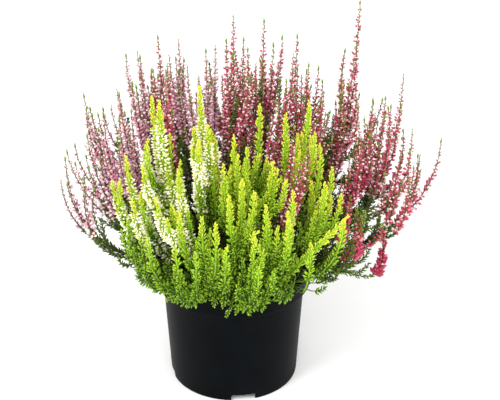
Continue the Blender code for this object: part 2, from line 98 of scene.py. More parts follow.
# Each spray: the share of its main shoot below the flowers, how early its shoots turn up, then the tips.
lilacSprays = (
    (0.38, 0.16, (-150, -10, 202), (-146, -2, 221), (-128, -32, 218)),
    (0.38, 0.30, (-126, -8, 246), (-146, 18, 216), (-140, 32, 214)),
    (0.40, 0.30, (-131, 40, 260), (-112, 4, 262), (-118, 22, 236)),
    (0.40, 0.30, (-99, 22, 271), (-97, -20, 270), (-110, -38, 250)),
    (0.42, 0.30, (-81, 44, 296), (-94, 58, 290), (-88, 30, 274)),
    (0.40, 0.30, (-48, 68, 299), (-50, 48, 292), (-57, 28, 296)),
    (0.38, 0.30, (-24, 54, 297), (-16, 70, 292), (-30, 32, 282), (-42, 8, 244)),
    (0.40, 0.30, (-105, 95, 235), (-75, 115, 240), (-128, 68, 232)),
)
roseSprays = (
    (0.40, 0.30, (-66, 62, 306), (-71, 34, 288), (-58, 12, 290)),
    (0.40, 0.30, (0, 76, 319), (-6, 48, 310), (9, 58, 306), (14, 16, 290), (20, 30, 297)),
    (0.42, 0.30, (27, 84, 311), (35, 56, 302), (43, 74, 300), (10, 36, 258)),
    (0.40, 0.30, (52, 38, 300), (56, 64, 306), (46, 14, 288), (30, 8, 246)),
    (0.42, 0.30, (66, 50, 285), (75, 64, 275), (79, 30, 268), (86, 4, 236)),
    (0.42, 0.20, (111, 82, 330), (95, 46, 276), (109, 20, 260)),
    (0.40, 0.14, (122, 36, 258), (111, -6, 242), (134, 54, 250)),
    (0.40, 0.12, (150, 66, 266), (137, 20, 260), (153, -6, 230)),
    (0.38, 0.12, (182, 20, 226), (146, 2, 222), (152, -28, 214)),
    (0.36, 0.30, (52, -46, 276), (60, -58, 250)),
    (0.34, 0.10, (100, -56, 213), (110, -48, 190), (130, -27, 168)),
    (0.40, 0.30, (100, 112, 232), (66, 128, 238), (134, 92, 228)),
    (0.40, 0.30, (20, 136, 236), (-22, 132, 238), (-50, 120, 232)),
)
limeSprays = (
    (0.22, 0.30, (-91, -40, 243), (-103, -46, 222), (-85, -70, 218)),
    (0.30, 0.30, (-69, -18, 288), (-62, -33, 292), (-76, -60, 244)),
    (0.30, 0.30, (-46, -64, 243), (-65, -80, 226), (-55, -90, 212)),
    (0.30, 0.30, (-28, -12, 295), (-21, -32, 268), (-28, -50, 258)),
    (0.30, 0.30, (1, -30, 256), (-8, -56, 244), (12, -42, 252)),
    (0.30, 0.30, (23, -14, 278), (34, -60, 249), (45, -76, 240)),
    (0.30, 0.30, (65, -14, 281), (45, -26, 276), (70, -34, 262)),
    (0.26, 0.20, (74, -32, 250), (78, -62, 230), (92, -56, 215)),
    (0.26, 0.30, (8, -72, 238), (-3, -88, 232), (18, -84, 234), (13, -85, 118)),
    (0.24, 0.20, (51, -86, 235), (47, -102, 218), (28, -94, 226), (34, -79, 116)),
    (0.22, 0.10, (94, -76, 202), (66, -102, 194), (34, -114, 172), (72, -54, 118)),
    (0.24, 0.10, (-26, -90, 212), (-14, -104, 214), (-5, -114, 198), (-27, -81, 116)),
    (0.24, 0.10, (-48, -104, 192), (-31, -110, 190), (-72, -88, 190), (-47, -71, 116)),
    (0.22, 0.10, (18, -108, 204), (22, -120, 182), (-6, -87, 111)),
    (0.20, 0.10, (-91, -46, 166), (-82, -64, 146), (-64, -60, 118)),
    (0.20, 0.10, (86, -54, 154), (84, -38, 110), (57, -66, 117)),
)


# The lay of the shoots is worked out as for the imported solids.

# How far along a path each of its points is.
def lengths(points):
    return np.concatenate([[0], np.cumsum(np.linalg.norm(np.diff(points, axis=0), axis=1))])


def unit(vectors):
    return vectors / np.linalg.norm(vectors, axis=-1, keepdims=True)


# A quadratic curve from start, leaving towards middle, to end, read at places half a ring step apart.
def curve(start, middle, end, step):
    share = np.linspace(0, 1, growth["curvePoints"])[:, None]
    line = (1 - share) ** 2 * start + 2 * share * (1 - share) * middle + share**2 * end
    run = lengths(line)
    places = np.linspace(0, run[-1], 2 * max(2, round(run[-1] / step)) + 1)
    return np.stack([np.interp(places, run, line[:, k]) for k in range(3)], 1)


# The stems' feet: those that stand too close push each other apart, inside the pot.
def spreadFeet(wanted):
    feet = np.array(wanted, float)
    for _ in range(growth["footRounds"]):
        apart = feet[:, None] - feet[None]
        distance = np.linalg.norm(apart, axis=2) + 1e-9
        short = np.clip(growth["footSpacing"] - distance, 0, None)
        np.fill_diagonal(short, 0)
        feet += growth["footPush"] * (apart / distance[..., None] * short[..., None]).sum(1)
        reach = np.linalg.norm(feet, axis=1)
        feet *= np.minimum(1, growth["footLimit"] / np.maximum(reach, 1e-9))[:, None]
    return feet


# A main shoot, from its foot in the soil to its tip, and the row of its points at which the flowers begin.
def mainShoot(foot, tip, bareShare, rise):
    base = np.array([*foot, soilShape["stemFoot"]])
    collar = np.array([*foot, soilShape["crown"] + growth["collar"]])
    tip = np.array(tip, float)
    out = growth["mainOut"] - growth["mainEarly"] * rise
    middle = collar + (tip - collar) * np.array([out, out, rise])
    middle[2] = max(middle[2], potShape["height"] + growth["overRim"])
    line = curve(collar, middle, tip, 1.0)
    run = lengths(line)
    fork = bareShare * run[-1]
    low = np.linspace(0, fork, 2 * max(3, round(fork / growth["lowStep"])) + 1)
    high = np.linspace(fork, run[-1], 2 * round((run[-1] - fork) / growth["ringStep"]) + 1)
    places = np.concatenate([low, high[1:]])
    above = np.stack([np.interp(places, run, line[:, k]) for k in range(3)], 1)
    buried = np.linspace(base, collar, 5)[:-1]
    return np.concatenate([buried, above]), len(buried) + len(low) - 1


# A side shoot from its root on the main shoot to its tip. One that ends low starts out level.
def sideShoot(root, tip, rise):
    tip = np.array(tip, float)
    reach = tip - root
    if reach[2] < growth["levelBelow"] * np.linalg.norm(reach[:2]):
        x, y = reach[:2] * growth["levelOut"]
        middle = root + np.array([x, y, abs(reach[2]) * growth["levelRise"] + growth["levelUp"]])
    else:
        out = growth["sideOut"] - growth["sideEarly"] * rise
        middle = root + reach * np.array([out, out, growth["sideRise"] * rise])
    return curve(root, middle, tip, growth["ringStep"])


# A twig's path, out to one side and then up.
def twigPath(root, turn, length):
    out = np.array([math.cos(turn), math.sin(turn), 0.0])
    end = root + length * (growth["twigOut"] * out + [0, 0, growth["twigRise"]])
    return curve(root, root + length * growth["twigMiddle"] * out, end, growth["ringStep"])


# Radius along a shoot: plain at its root, full where buds or leaves cover it, and slim at its tip.
def girth(run, full, plain, taper, root):
    rise = np.clip((run - plain) / growth["ringStep"], 0, 1)
    fall = np.clip((run[-1] - run) / taper, 0, 1) ** growth["fallPower"]
    covered = growth["tipRadius"] + (full - growth["tipRadius"]) * fall
    return root + (covered - root) * rise


# The sprays of one plant, before they are bent clear: a main shoot, its side shoots, and two twigs at its fork.
def growSprays(rows, kind, feet):
    lime = kind == "lime"
    full = growth["limeRadius" if lime else "flowerRadius"]
    taper = growth["limeTaper" if lime else "flowerTaper"]
    stem, low = growth["stemRadius"], growth["lowStep"]
    sprays = []
    for (bareShare, rise, *tips), foot in zip(rows, feet):
        line, fork = mainShoot(foot, tips[0], bareShare, rise)
        run = lengths(line)
        radius = girth(run, full, growth["plainStem"], taper, stem)
        if not lime:
            marks = [0, growth["plainStem"], growth["plainStem"] + low, run[fork] - low, run[fork]]
            sizes = [stem, stem, growth["leafRadius"], growth["leafRadius"], stem]
            radius[: fork + 1] = np.interp(run[: fork + 1], marks, sizes)
        main = {"points": line, "radius": radius, "parent": None, "row": 0, "twig": False}
        shoots = [main]
        for number, tip in enumerate(tips[1:]):
            over = tip[2] < line[fork][2] + growth["lowReach"]
            row = fork if over else fork + 2 + 2 * number
            path = sideShoot(line[row], tip, rise)
            tipTaper = growth["lowTaper"] if over else taper
            sizes = girth(lengths(path), full, growth["plainRoot"], tipTaper, growth["rootRadius"])
            shoots.append({"points": path, "radius": sizes, "parent": main, "row": row, "twig": False})
        outwards = math.atan2(line[fork][1], line[fork][0])
        for number, side in enumerate((1, -1)):
            row = fork - 2 * number - (0 if lime else 2)
            path = twigPath(line[row], outwards + side * growth["twigSpread"], growth["twigLength"])
            sizes = girth(lengths(path), growth["twigRadius"], growth["ringStep"] / 2, growth["twigTaper"],
                          growth["rootRadius"])
            shoots.append({"points": path, "radius": sizes, "parent": main, "row": row, "twig": True})
        sprays.append({"kind": kind, "shoots": shoots, "fork": fork, "rise": rise})
    return sprays


# The sum of the pushes on each row.
def gathered(pushes, rows, count):
    return np.stack([np.bincount(rows, pushes[:, k], count) for k in range(3)], 1)


# Shoots keep clear of the pot's rounded rim, and those inside the rim stay above the soil.
def pushFromPot(points, radius):
    push = np.zeros_like(points)
    out = np.linalg.norm(points[:, :2], axis=1) + 1e-9
    ring = potShape["rimRadius"] - potShape["wall"] / 2
    lip = growth["rimRound"]
    gapOut, gapUp = out - ring, points[:, 2] - np.minimum(points[:, 2], potShape["height"] - lip)
    gap = np.hypot(gapOut, gapUp) + 1e-9
    short = np.clip(radius + growth["rimClearance"] + lip - gap, 0, None)
    push[:, 2] += short * gapUp / gap
    push[:, :2] += points[:, :2] / out[:, None] * (short * gapOut / gap)[:, None]
    inside = (out < ring) & (radius > growth["stemRadius"] + 0.2)
    push[:, 2] += np.where(inside, np.clip(soilShape["crown"] + 2 + radius - points[:, 2], 0, None), 0)
    return push


# Every point counts as a ball. Balls that overlap push each other apart, the pushes are smoothed along the
# shoots, and each shoot keeps its length.
def bendClear(sprays):
    shoots = [shoot for spray in sprays for shoot in spray["shoots"]]
    number = {id(shoot): k for k, shoot in enumerate(shoots)}
    first = np.cumsum([0] + [len(shoot["points"]) for shoot in shoots])
    home = np.concatenate([shoot["points"] for shoot in shoots])
    radius = np.concatenate([shoot["radius"] for shoot in shoots])
    count = len(home)
    sprayOf, depth, meet = [], [], []
    for n, spray in enumerate(sprays):
        for shoot in spray["shoots"]:
            run = lengths(shoot["points"])
            parent = shoot["parent"]
            start = 0.0 if parent is None else lengths(parent["points"])[shoot["row"]]
            sprayOf.append(np.full(len(run), n))
            depth.append(run + start)
            meet.append(run if parent is None else np.full(len(run), start))
    sprayOf, depth, meet = (np.concatenate(values) for values in (sprayOf, depth, meet))
    shootOf = np.repeat(np.arange(len(shoots)), np.diff(first))
    alongStems = depth[:, None] + depth[None] - 2 * np.minimum(meet[:, None], meet[None])
    free = (sprayOf[:, None] == sprayOf[None]) & (
        alongStems < growth["freeShare"] * (radius[:, None] + radius[None]) + growth["ringStep"])
    free |= (shootOf[:, None] == shootOf[None]) & (
        np.abs(depth[:, None] - depth[None]) < growth["freeSteps"] * growth["ringStep"])
    need = (radius[:, None] + radius[None] + growth["gap"]).astype(np.float32)
    need[free] = -1
    need[np.tril_indices(count)] = -1
    fixed = (home[:, 2] < soilShape["crown"] + growth["fixedBelow"]) & (meet == depth)
    before, after = np.arange(count) - 1, np.arange(count) + 1
    before[first[:-1]] = first[:-1]
    after[first[1:] - 1] = first[1:] - 1
    rest = np.linalg.norm(home[after] - home, axis=1)
    children = [k for k, shoot in enumerate(shoots) if shoot["parent"]]
    root = first[children]
    joint = np.array([first[number[id(shoots[k]["parent"])]] + shoots[k]["row"] for k in children])
    points = home.copy()
    for turn in range(growth["rounds"]):
        if turn % growth["pairRounds"] == 0:
            place = points.astype(np.float32)
            square = (place**2).sum(1)
            distance = square[:, None] + square[None] - 2 * place @ place.T
            a, b = np.nonzero((need > 0) & (distance < (need + growth["pairReach"]) ** 2))
        apart = points[a] - points[b]
        distance = np.linalg.norm(apart, axis=1) + 1e-9
        short = np.clip(need[a, b] - distance, 0, None)
        move = apart / distance[:, None] * (short * growth["pushShare"])[:, None]
        push = gathered(move, a, count) - gathered(move, b, count) + pushFromPot(points, radius)
        for _ in range(2):
            push = 0.5 * push + 0.25 * (push[before] + push[after])
        moved = points + push - home
        fade = max(0.0, 1 - turn / (growth["fadeShare"] * growth["rounds"]))
        smooth = 0.5 * (moved[before] + moved[after])
        settle = growth["stiffness"] * (0.1 + 0.9 * fade) * (smooth - moved)
        moved += settle - growth["spring"] * fade * moved
        moved[fixed] = 0
        points = home + moved
        stretch = points[after] - points
        length = np.linalg.norm(stretch, axis=1) + 1e-9
        pull = np.where(rest > 0, 0.25 * (1 - rest / length), 0)[:, None] * stretch
        points += pull - gathered(pull, after, count)
        points[fixed] = home[fixed]
        points[root] = points[joint]
    for k, shoot in enumerate(shoots):
        shoot["points"] = points[first[k] : first[k + 1]]


# Shader maths: a wrapped socket whose operators add Math nodes.
class Wire:
    def __init__(self, tree, socket):
        self.tree = tree
        self.socket = socket

    def math(self, operation, a, b):
        return node(self.tree, "ShaderNodeMath", {"operation": operation}, {0: a, 1: b})

    def __add__(self, other):
        return self.math("ADD", self, other)

    def __radd__(self, other):
        return self.math("ADD", other, self)

    def __sub__(self, other):
        return self.math("SUBTRACT", self, other)

    def __rsub__(self, other):
        return self.math("SUBTRACT", other, self)

    def __mul__(self, other):
        return self.math("MULTIPLY", self, other)

    def __rmul__(self, other):
        return self.math("MULTIPLY", other, self)

    # A smooth rise from 0 at the low value to 1 at the high one.
    def ramp(self, low, high):
        return node(self.tree, "ShaderNodeMapRange", {"interpolation_type": "SMOOTHSTEP"},
                    {0: self, 1: low, 2: high, 3: 0.0, 4: 1.0})


# Any other node: its settings first, then the values or links of its sockets.
def node(tree, kind, settings=None, sockets=None, output=0):
    made = tree.nodes.new(kind)
    for key, value in (settings or {}).items():
        setattr(made, key, value)
    for key, value in (sockets or {}).items():
        if isinstance(value, Wire):
            tree.links.new(value.socket, made.inputs[key])
        else:
            made.inputs[key].default_value = value
    return Wire(tree, made.outputs[output])


def newMaterial(name, **constants):
    made = bpy.data.materials.new(name)
    made.use_nodes = True
    tree = made.node_tree
    shader = tree.nodes["Principled BSDF"]
    for key, value in constants.items():
        shader.inputs[key].default_value = value
    return made, tree, shader


def link(tree, wire, shader, socket):
    tree.links.new(wire.socket, shader.inputs[socket])


def mixed(tree, share, a, b):
    a, b = (value if isinstance(value, Wire) else (*value, 1.0) for value in (a, b))
    return node(tree, "ShaderNodeMix", {"data_type": "RGBA"}, {0: share, 6: a, 7: b}, output=2)


def objectNoise(tree, scale, detail=2.0, rough=0.5):
    place = node(tree, "ShaderNodeTexCoord", output=3)
    sockets = {"Vector": place, "Scale": scale, "Detail": detail, "Roughness": rough}
    return node(tree, "ShaderNodeTexNoise", {}, sockets)


def bumped(tree, shader, height, strength, distance):
    sockets = {"Strength": strength, "Distance": distance, "Height": height}
    link(tree, node(tree, "ShaderNodeBump", {}, sockets), shader, "Normal")


# The growth attribute of a plant's mesh: along one leaf or bud, the tone drawn for it, and along its shoot.
def growthParts(tree):
    vector = node(tree, "ShaderNodeAttribute", {"attribute_name": "growth"}, output=1)
    split = node(tree, "ShaderNodeSeparateXYZ", {}, {0: vector})
    return [Wire(tree, out) for out in split.socket.node.outputs]


# Painted shade: growth deep inside the plant is painted darker, towards an inside colour, where shade falls
# among the shoots. The deep attribute is its depth there, from 0 to 1.
def paintShadeInside(tree, share, skin, colour):
    deep = node(tree, "ShaderNodeAttribute", {"attribute_name": "deep"}, output=2)
    return mixed(tree, deep * share, skin, colour)


# The inside colour of each kind is painted shade, for buds deep inside the plant.
budColours = {
    "lilac": {
        "deep": (0.55, 0.16, 0.28), "fair": (0.89, 0.48, 0.60), "pale": (1.00, 0.92, 0.92),
        "base": (0.32, 0.27, 0.08), "inside": (0.20, 0.05, 0.08),
    },
    "rose": {
        "deep": (0.34, 0.017, 0.055), "fair": (0.77, 0.135, 0.240), "pale": (1.00, 0.80, 0.80),
        "base": (0.26, 0.17, 0.03), "inside": (0.10, 0.010, 0.015),
    },
    "white": {
        "deep": (0.96, 0.90, 0.46), "fair": (1.00, 0.96, 0.74), "pale": (1.00, 1.00, 0.92),
        "base": (0.80, 0.76, 0.14), "inside": (0.40, 0.38, 0.12),
    },
}
# Its inside share is how far the painted shade darkens the deepest buds.
budSkin = {
    "specular": 0.3, "rough": 0.48, "rougher": 0.2, "patchScale": 35.0, "patchRamp": (0.35, 0.65),
    "tone": 0.8, "patch": 0.2, "paleAlong": (0.25, 0.85), "paleTone": (0.45, 0.85),
    "baseRamp": (0.02, 0.30), "base": 0.7, "inside": 0.7,
}


# A bud: deep or fair by its tone, pale at the tip where its tone is high, greenish at its base, and darker with
# painted shade deep inside the plant.
def budMaterial(name, colours):
    s = budSkin
    made, tree, shader = newMaterial(name, **{"Specular IOR Level": s["specular"]})
    along, tone, _ = growthParts(tree)
    patch = objectNoise(tree, s["patchScale"]).ramp(*s["patchRamp"])
    petal = mixed(tree, tone * s["tone"] + patch * s["patch"], colours["deep"], colours["fair"])
    petal = mixed(tree, along.ramp(*s["paleAlong"]) * tone.ramp(*s["paleTone"]), petal, colours["pale"])
    petal = mixed(tree, (1 - along.ramp(*s["baseRamp"])) * s["base"], petal, colours["base"])
    # Painted shade deep inside the plant.
    petal = paintShadeInside(tree, s["inside"], petal, colours["inside"])
    link(tree, petal, shader, "Base Color")
    link(tree, s["rough"] + tone * s["rougher"], shader, "Roughness")
    return made


# The inside colour of each kind is painted shade, for leaves deep inside the plant.
leafColours = {
    "green": {
        "dark": (0.020, 0.042, 0.006), "mid": (0.075, 0.150, 0.015), "fresh": (0.25, 0.34, 0.035),
        "inside": (0.007, 0.011, 0.003),
    },
    "lime": {
        "dark": (0.032, 0.092, 0.006), "mid": (0.345, 0.57, 0.025), "fresh": (0.71, 0.69, 0.055),
        "inside": (0.020, 0.060, 0.006),
    },
}
# Its inside share is how far the painted shade darkens the deepest leaves.
leafSkin = {
    "specular": 0.25, "rough": 0.42, "rougher": 0.2, "patchScale": 30.0, "patchRamp": (0.3, 0.7),
    "reach": 0.72, "along": 0.58, "tone": 0.25, "older": 0.31, "patch": 0.1,
    "midRamp": (0.0, 0.55), "freshRamp": (0.45, 0.95), "inside": 0.9,
}


# A leaf: fresher towards the tip of its shoot and towards its own tip, a little by its tone, and darker with
# painted shade deep inside the plant.
def leafMaterial(name, colours):
    s = leafSkin
    made, tree, shader = newMaterial(name, **{"Specular IOR Level": s["specular"]})
    along, tone, reach = growthParts(tree)
    patch = objectNoise(tree, s["patchScale"]).ramp(*s["patchRamp"])
    young = reach * s["reach"] + along * s["along"] + tone * s["tone"] - s["older"]
    skin = mixed(tree, (young + patch * s["patch"]).ramp(*s["midRamp"]), colours["dark"], colours["mid"])
    skin = mixed(tree, young.ramp(*s["freshRamp"]), skin, colours["fresh"])
    # Painted shade deep inside the plant.
    skin = paintShadeInside(tree, s["inside"], skin, colours["inside"])
    link(tree, skin, shader, "Base Color")
    link(tree, s["rough"] + tone * s["rougher"], shader, "Roughness")
    return made


barkSkin = {
    "rough": 0.8, "grain": 900.0, "dark": (0.045, 0.024, 0.012), "fair": (0.13, 0.075, 0.035),
    "young": (0.22, 0.10, 0.040), "youngRamp": (0.25, 0.9), "bump": (0.4, 0.0003),
}


def barkMaterial():
    s = barkSkin
    made, tree, shader = newMaterial("heather_bark", Roughness=s["rough"])
    grain = objectNoise(tree, s["grain"], 3.0)
    reach = growthParts(tree)[2]
    skin = mixed(tree, grain.ramp(0.3, 0.7), s["dark"], s["fair"])
    skin = mixed(tree, reach.ramp(*s["youngRamp"]), skin, s["young"])
    link(tree, skin, shader, "Base Color")
    bumped(tree, shader, grain, *s["bump"])
    return made


plasticSkin = {
    "specular": 0.035, "rough": 0.36, "cloudRough": 0.16, "dustRough": 0.3, "cloud": 45.0,
    "specks": 1400.0, "speckRamp": (0.68, 0.78), "dustBand": (0.100, 0.113), "dustFoot": (0.0, 0.022),
    "onBand": 0.35, "onFoot": 0.5, "dark": (0.0012, 0.0019, 0.0027), "fair": (0.0022, 0.0031, 0.0040),
    "dust": (0.05, 0.048, 0.044), "dustShare": 0.12, "speckShare": 0.03, "fine": 2600.0,
    "bump": (0.12, 0.0002),
}


# Black plastic, with a little dust on the rim band and low on the wall.
def plasticMaterial():
    s = plasticSkin
    made, tree, shader = newMaterial("black_plastic", **{"Specular IOR Level": s["specular"]})
    place = node(tree, "ShaderNodeTexCoord", output=3)
    height = node(tree, "ShaderNodeSeparateXYZ", {}, {0: place}, output=2)
    cloud = objectNoise(tree, s["cloud"], 4.0, 0.6)
    specks = objectNoise(tree, s["specks"], 2.0).ramp(*s["speckRamp"])
    lying = height.ramp(*s["dustBand"]) * s["onBand"] + (1 - height.ramp(*s["dustFoot"])) * s["onFoot"]
    dust = lying * cloud.ramp(0.45, 0.75)
    skin = mixed(tree, cloud.ramp(0.3, 0.7), s["dark"], s["fair"])
    skin = mixed(tree, dust * s["dustShare"] + specks * s["speckShare"], skin, s["dust"])
    link(tree, skin, shader, "Base Color")
    link(tree, s["rough"] + cloud * s["cloudRough"] + dust * s["dustRough"], shader, "Roughness")
    bumped(tree, shader, objectNoise(tree, s["fine"], 2.0), *s["bump"])
    return made


peatSkin = {
    "rough": 0.95, "clod": 260.0, "fibre": 1200.0, "dark": (0.010, 0.0065, 0.004),
    "fair": (0.045, 0.028, 0.016), "fibres": (0.12, 0.08, 0.045), "fibreRamp": (0.62, 0.75),
    "fibreShare": 0.6, "bump": (0.7, 0.0008),
}


def peatMaterial():
    s = peatSkin
    made, tree, shader = newMaterial("peat", Roughness=s["rough"])
    clod = objectNoise(tree, s["clod"], 6.0, 0.65)
    fibre = objectNoise(tree, s["fibre"], 3.0)
    skin = mixed(tree, clod.ramp(0.35, 0.7), s["dark"], s["fair"])
    skin = mixed(tree, fibre.ramp(*s["fibreRamp"]) * s["fibreShare"], skin, s["fibres"])
    link(tree, skin, shader, "Base Color")
    bumped(tree, shader, clod, *s["bump"])
    return made


materials = {
    "plastic": plasticMaterial(),
    "peat": peatMaterial(),
    "bark": barkMaterial(),
    "greenLeaf": leafMaterial("heather_leaf", leafColours["green"]),
    "limeLeaf": leafMaterial("lime_shoots", leafColours["lime"]),
    "lilacBud": budMaterial("lilac_buds", budColours["lilac"]),
    "roseBud": budMaterial("rose_buds", budColours["rose"]),
    "whiteBud": budMaterial("white_buds", budColours["white"]),
}
print("materials made")


# A heap gathers the points, triangles and growth values of one piece, with the material of each triangle.
def newHeap():
    return {"points": [], "faces": [], "growth": [], "finish": [], "count": 0}


def heapUp(heap, points, faces, growthValues, finish):
    heap["points"].append(points.reshape(-1, 3))
    heap["faces"].append(faces.reshape(-1, 3) + heap["count"])
    heap["growth"].append(growthValues.reshape(-1, 3))
    heap["finish"].append((finish, faces.size // 3))
    heap["count"] += points.size // 3


# The crown's shape in millimetres, for the painted shade deep inside the plant.
crown = {
    "top": 305.0, "fall": 0.6, "front": 0.5, "skin": 60.0, "down": 88.0, "rim": 77.0, "flare": 0.7,
    "in": 19.0,
}


# How deep a point is inside the crown of shoots, from 0 to 1, for the painted shade there: by its depth under
# the crown's top, which falls outwards and to the front, or by its distance in from the crown's flared side,
# whichever is less.
def shadeDepthInside(points):
    x, y, z = points.T
    out = np.hypot(x, y)
    below = crown["top"] - crown["fall"] * out + crown["front"] * np.minimum(y, 0) - z
    within = crown["rim"] + crown["flare"] * (z - potShape["height"]) - out
    deep = np.clip(np.minimum((below - crown["skin"]) / crown["down"], within / crown["in"]), 0, 1)
    return deep**2 * (3 - 2 * deep)


def placed(name, data):
    made = bpy.data.objects.new(name, data)
    bpy.context.scene.collection.objects.link(made)
    return made


# The piece that a heap makes, kept just inside the solids' box.
def pieceFromHeap(name, heap, nodes, smooth=True):
    points = np.concatenate(heap["points"]) * mm
    points = np.clip(points, np.array(cadBox[0]) + 1e-5, np.array(cadBox[1]) - 1e-5)
    faces = np.concatenate(heap["faces"])
    mesh = bpy.data.meshes.new(name)
    mesh.vertices.add(len(points))
    mesh.vertices.foreach_set("co", points.ravel())
    mesh.loops.add(faces.size)
    mesh.loops.foreach_set("vertex_index", faces.ravel().astype(np.int32))
    mesh.polygons.add(len(faces))
    mesh.polygons.foreach_set("loop_start", np.arange(0, faces.size, 3, dtype=np.int32))
    used = list(dict.fromkeys(finish for finish, _ in heap["finish"]))
    for finish in used:
        mesh.materials.append(materials[finish])
    index = np.concatenate([np.full(n, used.index(finish)) for finish, n in heap["finish"]])
    mesh.polygons.foreach_set("material_index", index.astype(np.int32))
    mesh.polygons.foreach_set("use_smooth", np.full(len(faces), smooth))
    values = mesh.attributes.new("growth", "FLOAT_VECTOR", "POINT")
    values.data.foreach_set("vector", np.concatenate(heap["growth"]).astype(np.float32).ravel())
    # The deep attribute sets how much painted shade each point gets.
    deep = mesh.attributes.new("deep", "FLOAT", "POINT")
    deep.data.foreach_set("value", shadeDepthInside(points / mm).astype(np.float32))
    mesh.update()
    mesh.validate()
    made = placed(name, mesh)
    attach(made, "root")
    for replaced in nodes:
        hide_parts(replaced)


# Triangles between rings of corners, each square cut in two one way or the other, and a fan from the last ring
# to the point after it.
def ringFaces(rings, sides, across=False):
    low = (np.arange(rings - 1) * sides)[:, None]
    here = np.arange(sides)[None]
    a, b = low + here, low + (here + 1) % sides
    c, d = a + sides, b + sides
    cut = ((a, b, c), (b, d, c)) if across else ((a, b, d), (a, d, c))
    fan = np.stack([c[-1], d[-1], np.full(sides, rings * sides)], 1)
    return np.concatenate([np.stack(part, 2).reshape(-1, 3) for part in cut] + [fan])


# A small shape that is repeated: rings of corners about its length, from 0 to 1, each ring turned by half a
# corner. Its radius is the profile times its width, and it curves over by the square of the length.
def smallShape(profile, sides, bend):
    levels, sizes = np.array(profile).T
    turns = 2 * math.pi * (np.arange(sides)[None] + 0.5 * np.arange(len(levels))[:, None]) / sides
    x = sizes[:, None] * np.cos(turns)
    y = sizes[:, None] * np.sin(turns)
    z = np.broadcast_to(levels[:, None], x.shape)
    points = np.stack([x, y, z], 2).reshape(-1, 3)
    points = np.concatenate([points, [[0, 0, 1]]])
    along = points[:, 2].copy()
    points[:, 0] += bend * along**2
    return {"points": points, "faces": ringFaces(len(levels), sides, across=True), "along": along}


# Each profile is a row of places along the length, each with its radius.
templates = {
    "bud": smallShape(((0.05, 0.24), (0.54, 0.52)), 5, bend=0.10),
    "leaf": smallShape(((0.0, 0.30), (0.40, 0.50)), 3, bend=0.18),
    "twiglet": smallShape(((0.0, 0.32), (0.70, 0.50)), 3, bend=0.22),
}


# Copies of a template, one for each row: its root, its direction, the side it curves to, its length and width.
def copies(heap, template, roots, ahead, towards, length, width, tone, reach, finish):
    towards = unit(towards - ahead * (towards * ahead).sum(1, keepdims=True))
    across = np.cross(ahead, towards)
    shape = template["points"]
    points = roots[:, None]
    points = points + ahead[:, None] * (shape[None, :, 2, None] * length[:, None, None])
    points = points + towards[:, None] * (shape[None, :, 0, None] * width[:, None, None])
    points = points + across[:, None] * (shape[None, :, 1, None] * width[:, None, None])
    count, corners = len(roots), len(shape)
    faces = template["faces"][None] + (np.arange(count) * corners)[:, None, None]
    values = np.empty((count, corners, 3))
    values[..., 0] = template["along"][None]
    values[..., 1] = tone[:, None]
    values[..., 2] = reach[:, None]
    heapUp(heap, points, faces, values, finish)


# Points on the smooth curve through a shoot's points, with the direction and two sides at each: on each stretch
# the cubic that meets its two ends in place and slope.
def alongShoot(points, places):
    run = lengths(points)
    slope = np.gradient(points, run, axis=0)
    segment = np.clip(np.searchsorted(run, places, side="right") - 1, 0, len(run) - 2)
    gap = (run[segment + 1] - run[segment])[:, None]
    t = (places - run[segment])[:, None] / gap
    a, b, ma, mb = points[segment], points[segment + 1], slope[segment] * gap, slope[segment + 1] * gap
    place = (2 * t**3 - 3 * t**2 + 1) * a + (t**3 - 2 * t**2 + t) * ma
    place += (3 * t**2 - 2 * t**3) * b + (t**3 - t**2) * mb
    ahead = unit((6 * t**2 - 6 * t) * (a - b) + (3 * t**2 - 4 * t + 1) * ma + (3 * t**2 - 2 * t) * mb)
    general = unit(points[-1] - points[0])
    aside = np.cross(general, [0.2, 0.1, 1.0])
    if np.linalg.norm(aside) < 0.2:
        aside = np.array([1.0, 0.0, 0.0])
    side = unit(aside - ahead * (ahead @ aside)[:, None])
    return place, ahead, side, np.cross(ahead, side)


# A stem has a ring every so many millimetres. The size of a plain one is its radius at the root and at the tip,
# and its number of sides. A leafy core takes the colour of leaves that far along.
stemLook = {"ringStep": 6, "leastRings": 3, "tone": 0.5, "coreAlong": 0.35, "start": 0.5, "size": (1.5, 1.0, 6)}


# A round stem: rings about the shoot's curve, closed at the tip. Its radius goes evenly from thick to thin, or
# by a formula in the way left to the tip and the place.
def stemTube(heap, points, start, end, thick, thin, sides, finish, formula=None, topReach=1.0):
    s = stemLook
    places = np.linspace(start, end, max(s["leastRings"], int((end - start) / s["ringStep"]) + 1))
    centre, ahead, side, other = alongShoot(points, places)
    share = np.linspace(0, 1, len(places))
    radius = formula(end - places, centre) if formula else thick + (thin - thick) * share
    turns = 2 * math.pi * np.arange(sides) / sides
    rings = centre[:, None] + radius[:, None, None] * (
        side[:, None] * np.cos(turns)[None, :, None] + other[:, None] * np.sin(turns)[None, :, None])
    tip = centre[-1:] + ahead[-1:] * thin
    values = np.full((len(places) * sides + 1, 3), s["tone"])
    values[:, 0] = s["coreAlong"] if formula else 0
    values[:-1, 2] = np.repeat(topReach * share, sides)
    values[-1, 2] = topReach
    points = np.concatenate([rings.reshape(-1, 3), tip])
    heapUp(heap, points, ringFaces(len(places), sides), values, finish)


# The plain stem of a spray.
def plainStem(heap, points, end):
    stemTube(heap, points, stemLook["start"], end, *stemLook["size"], "bark")


goldenAngle = 2.39996
roundLook = {
    "jitter": 0.5, "loose": 0.35, "looser": 1.1, "looseFrom": 125.0, "looseOver": 40.0, "turn": 6.28,
    "pairTurn": 0.8,
}


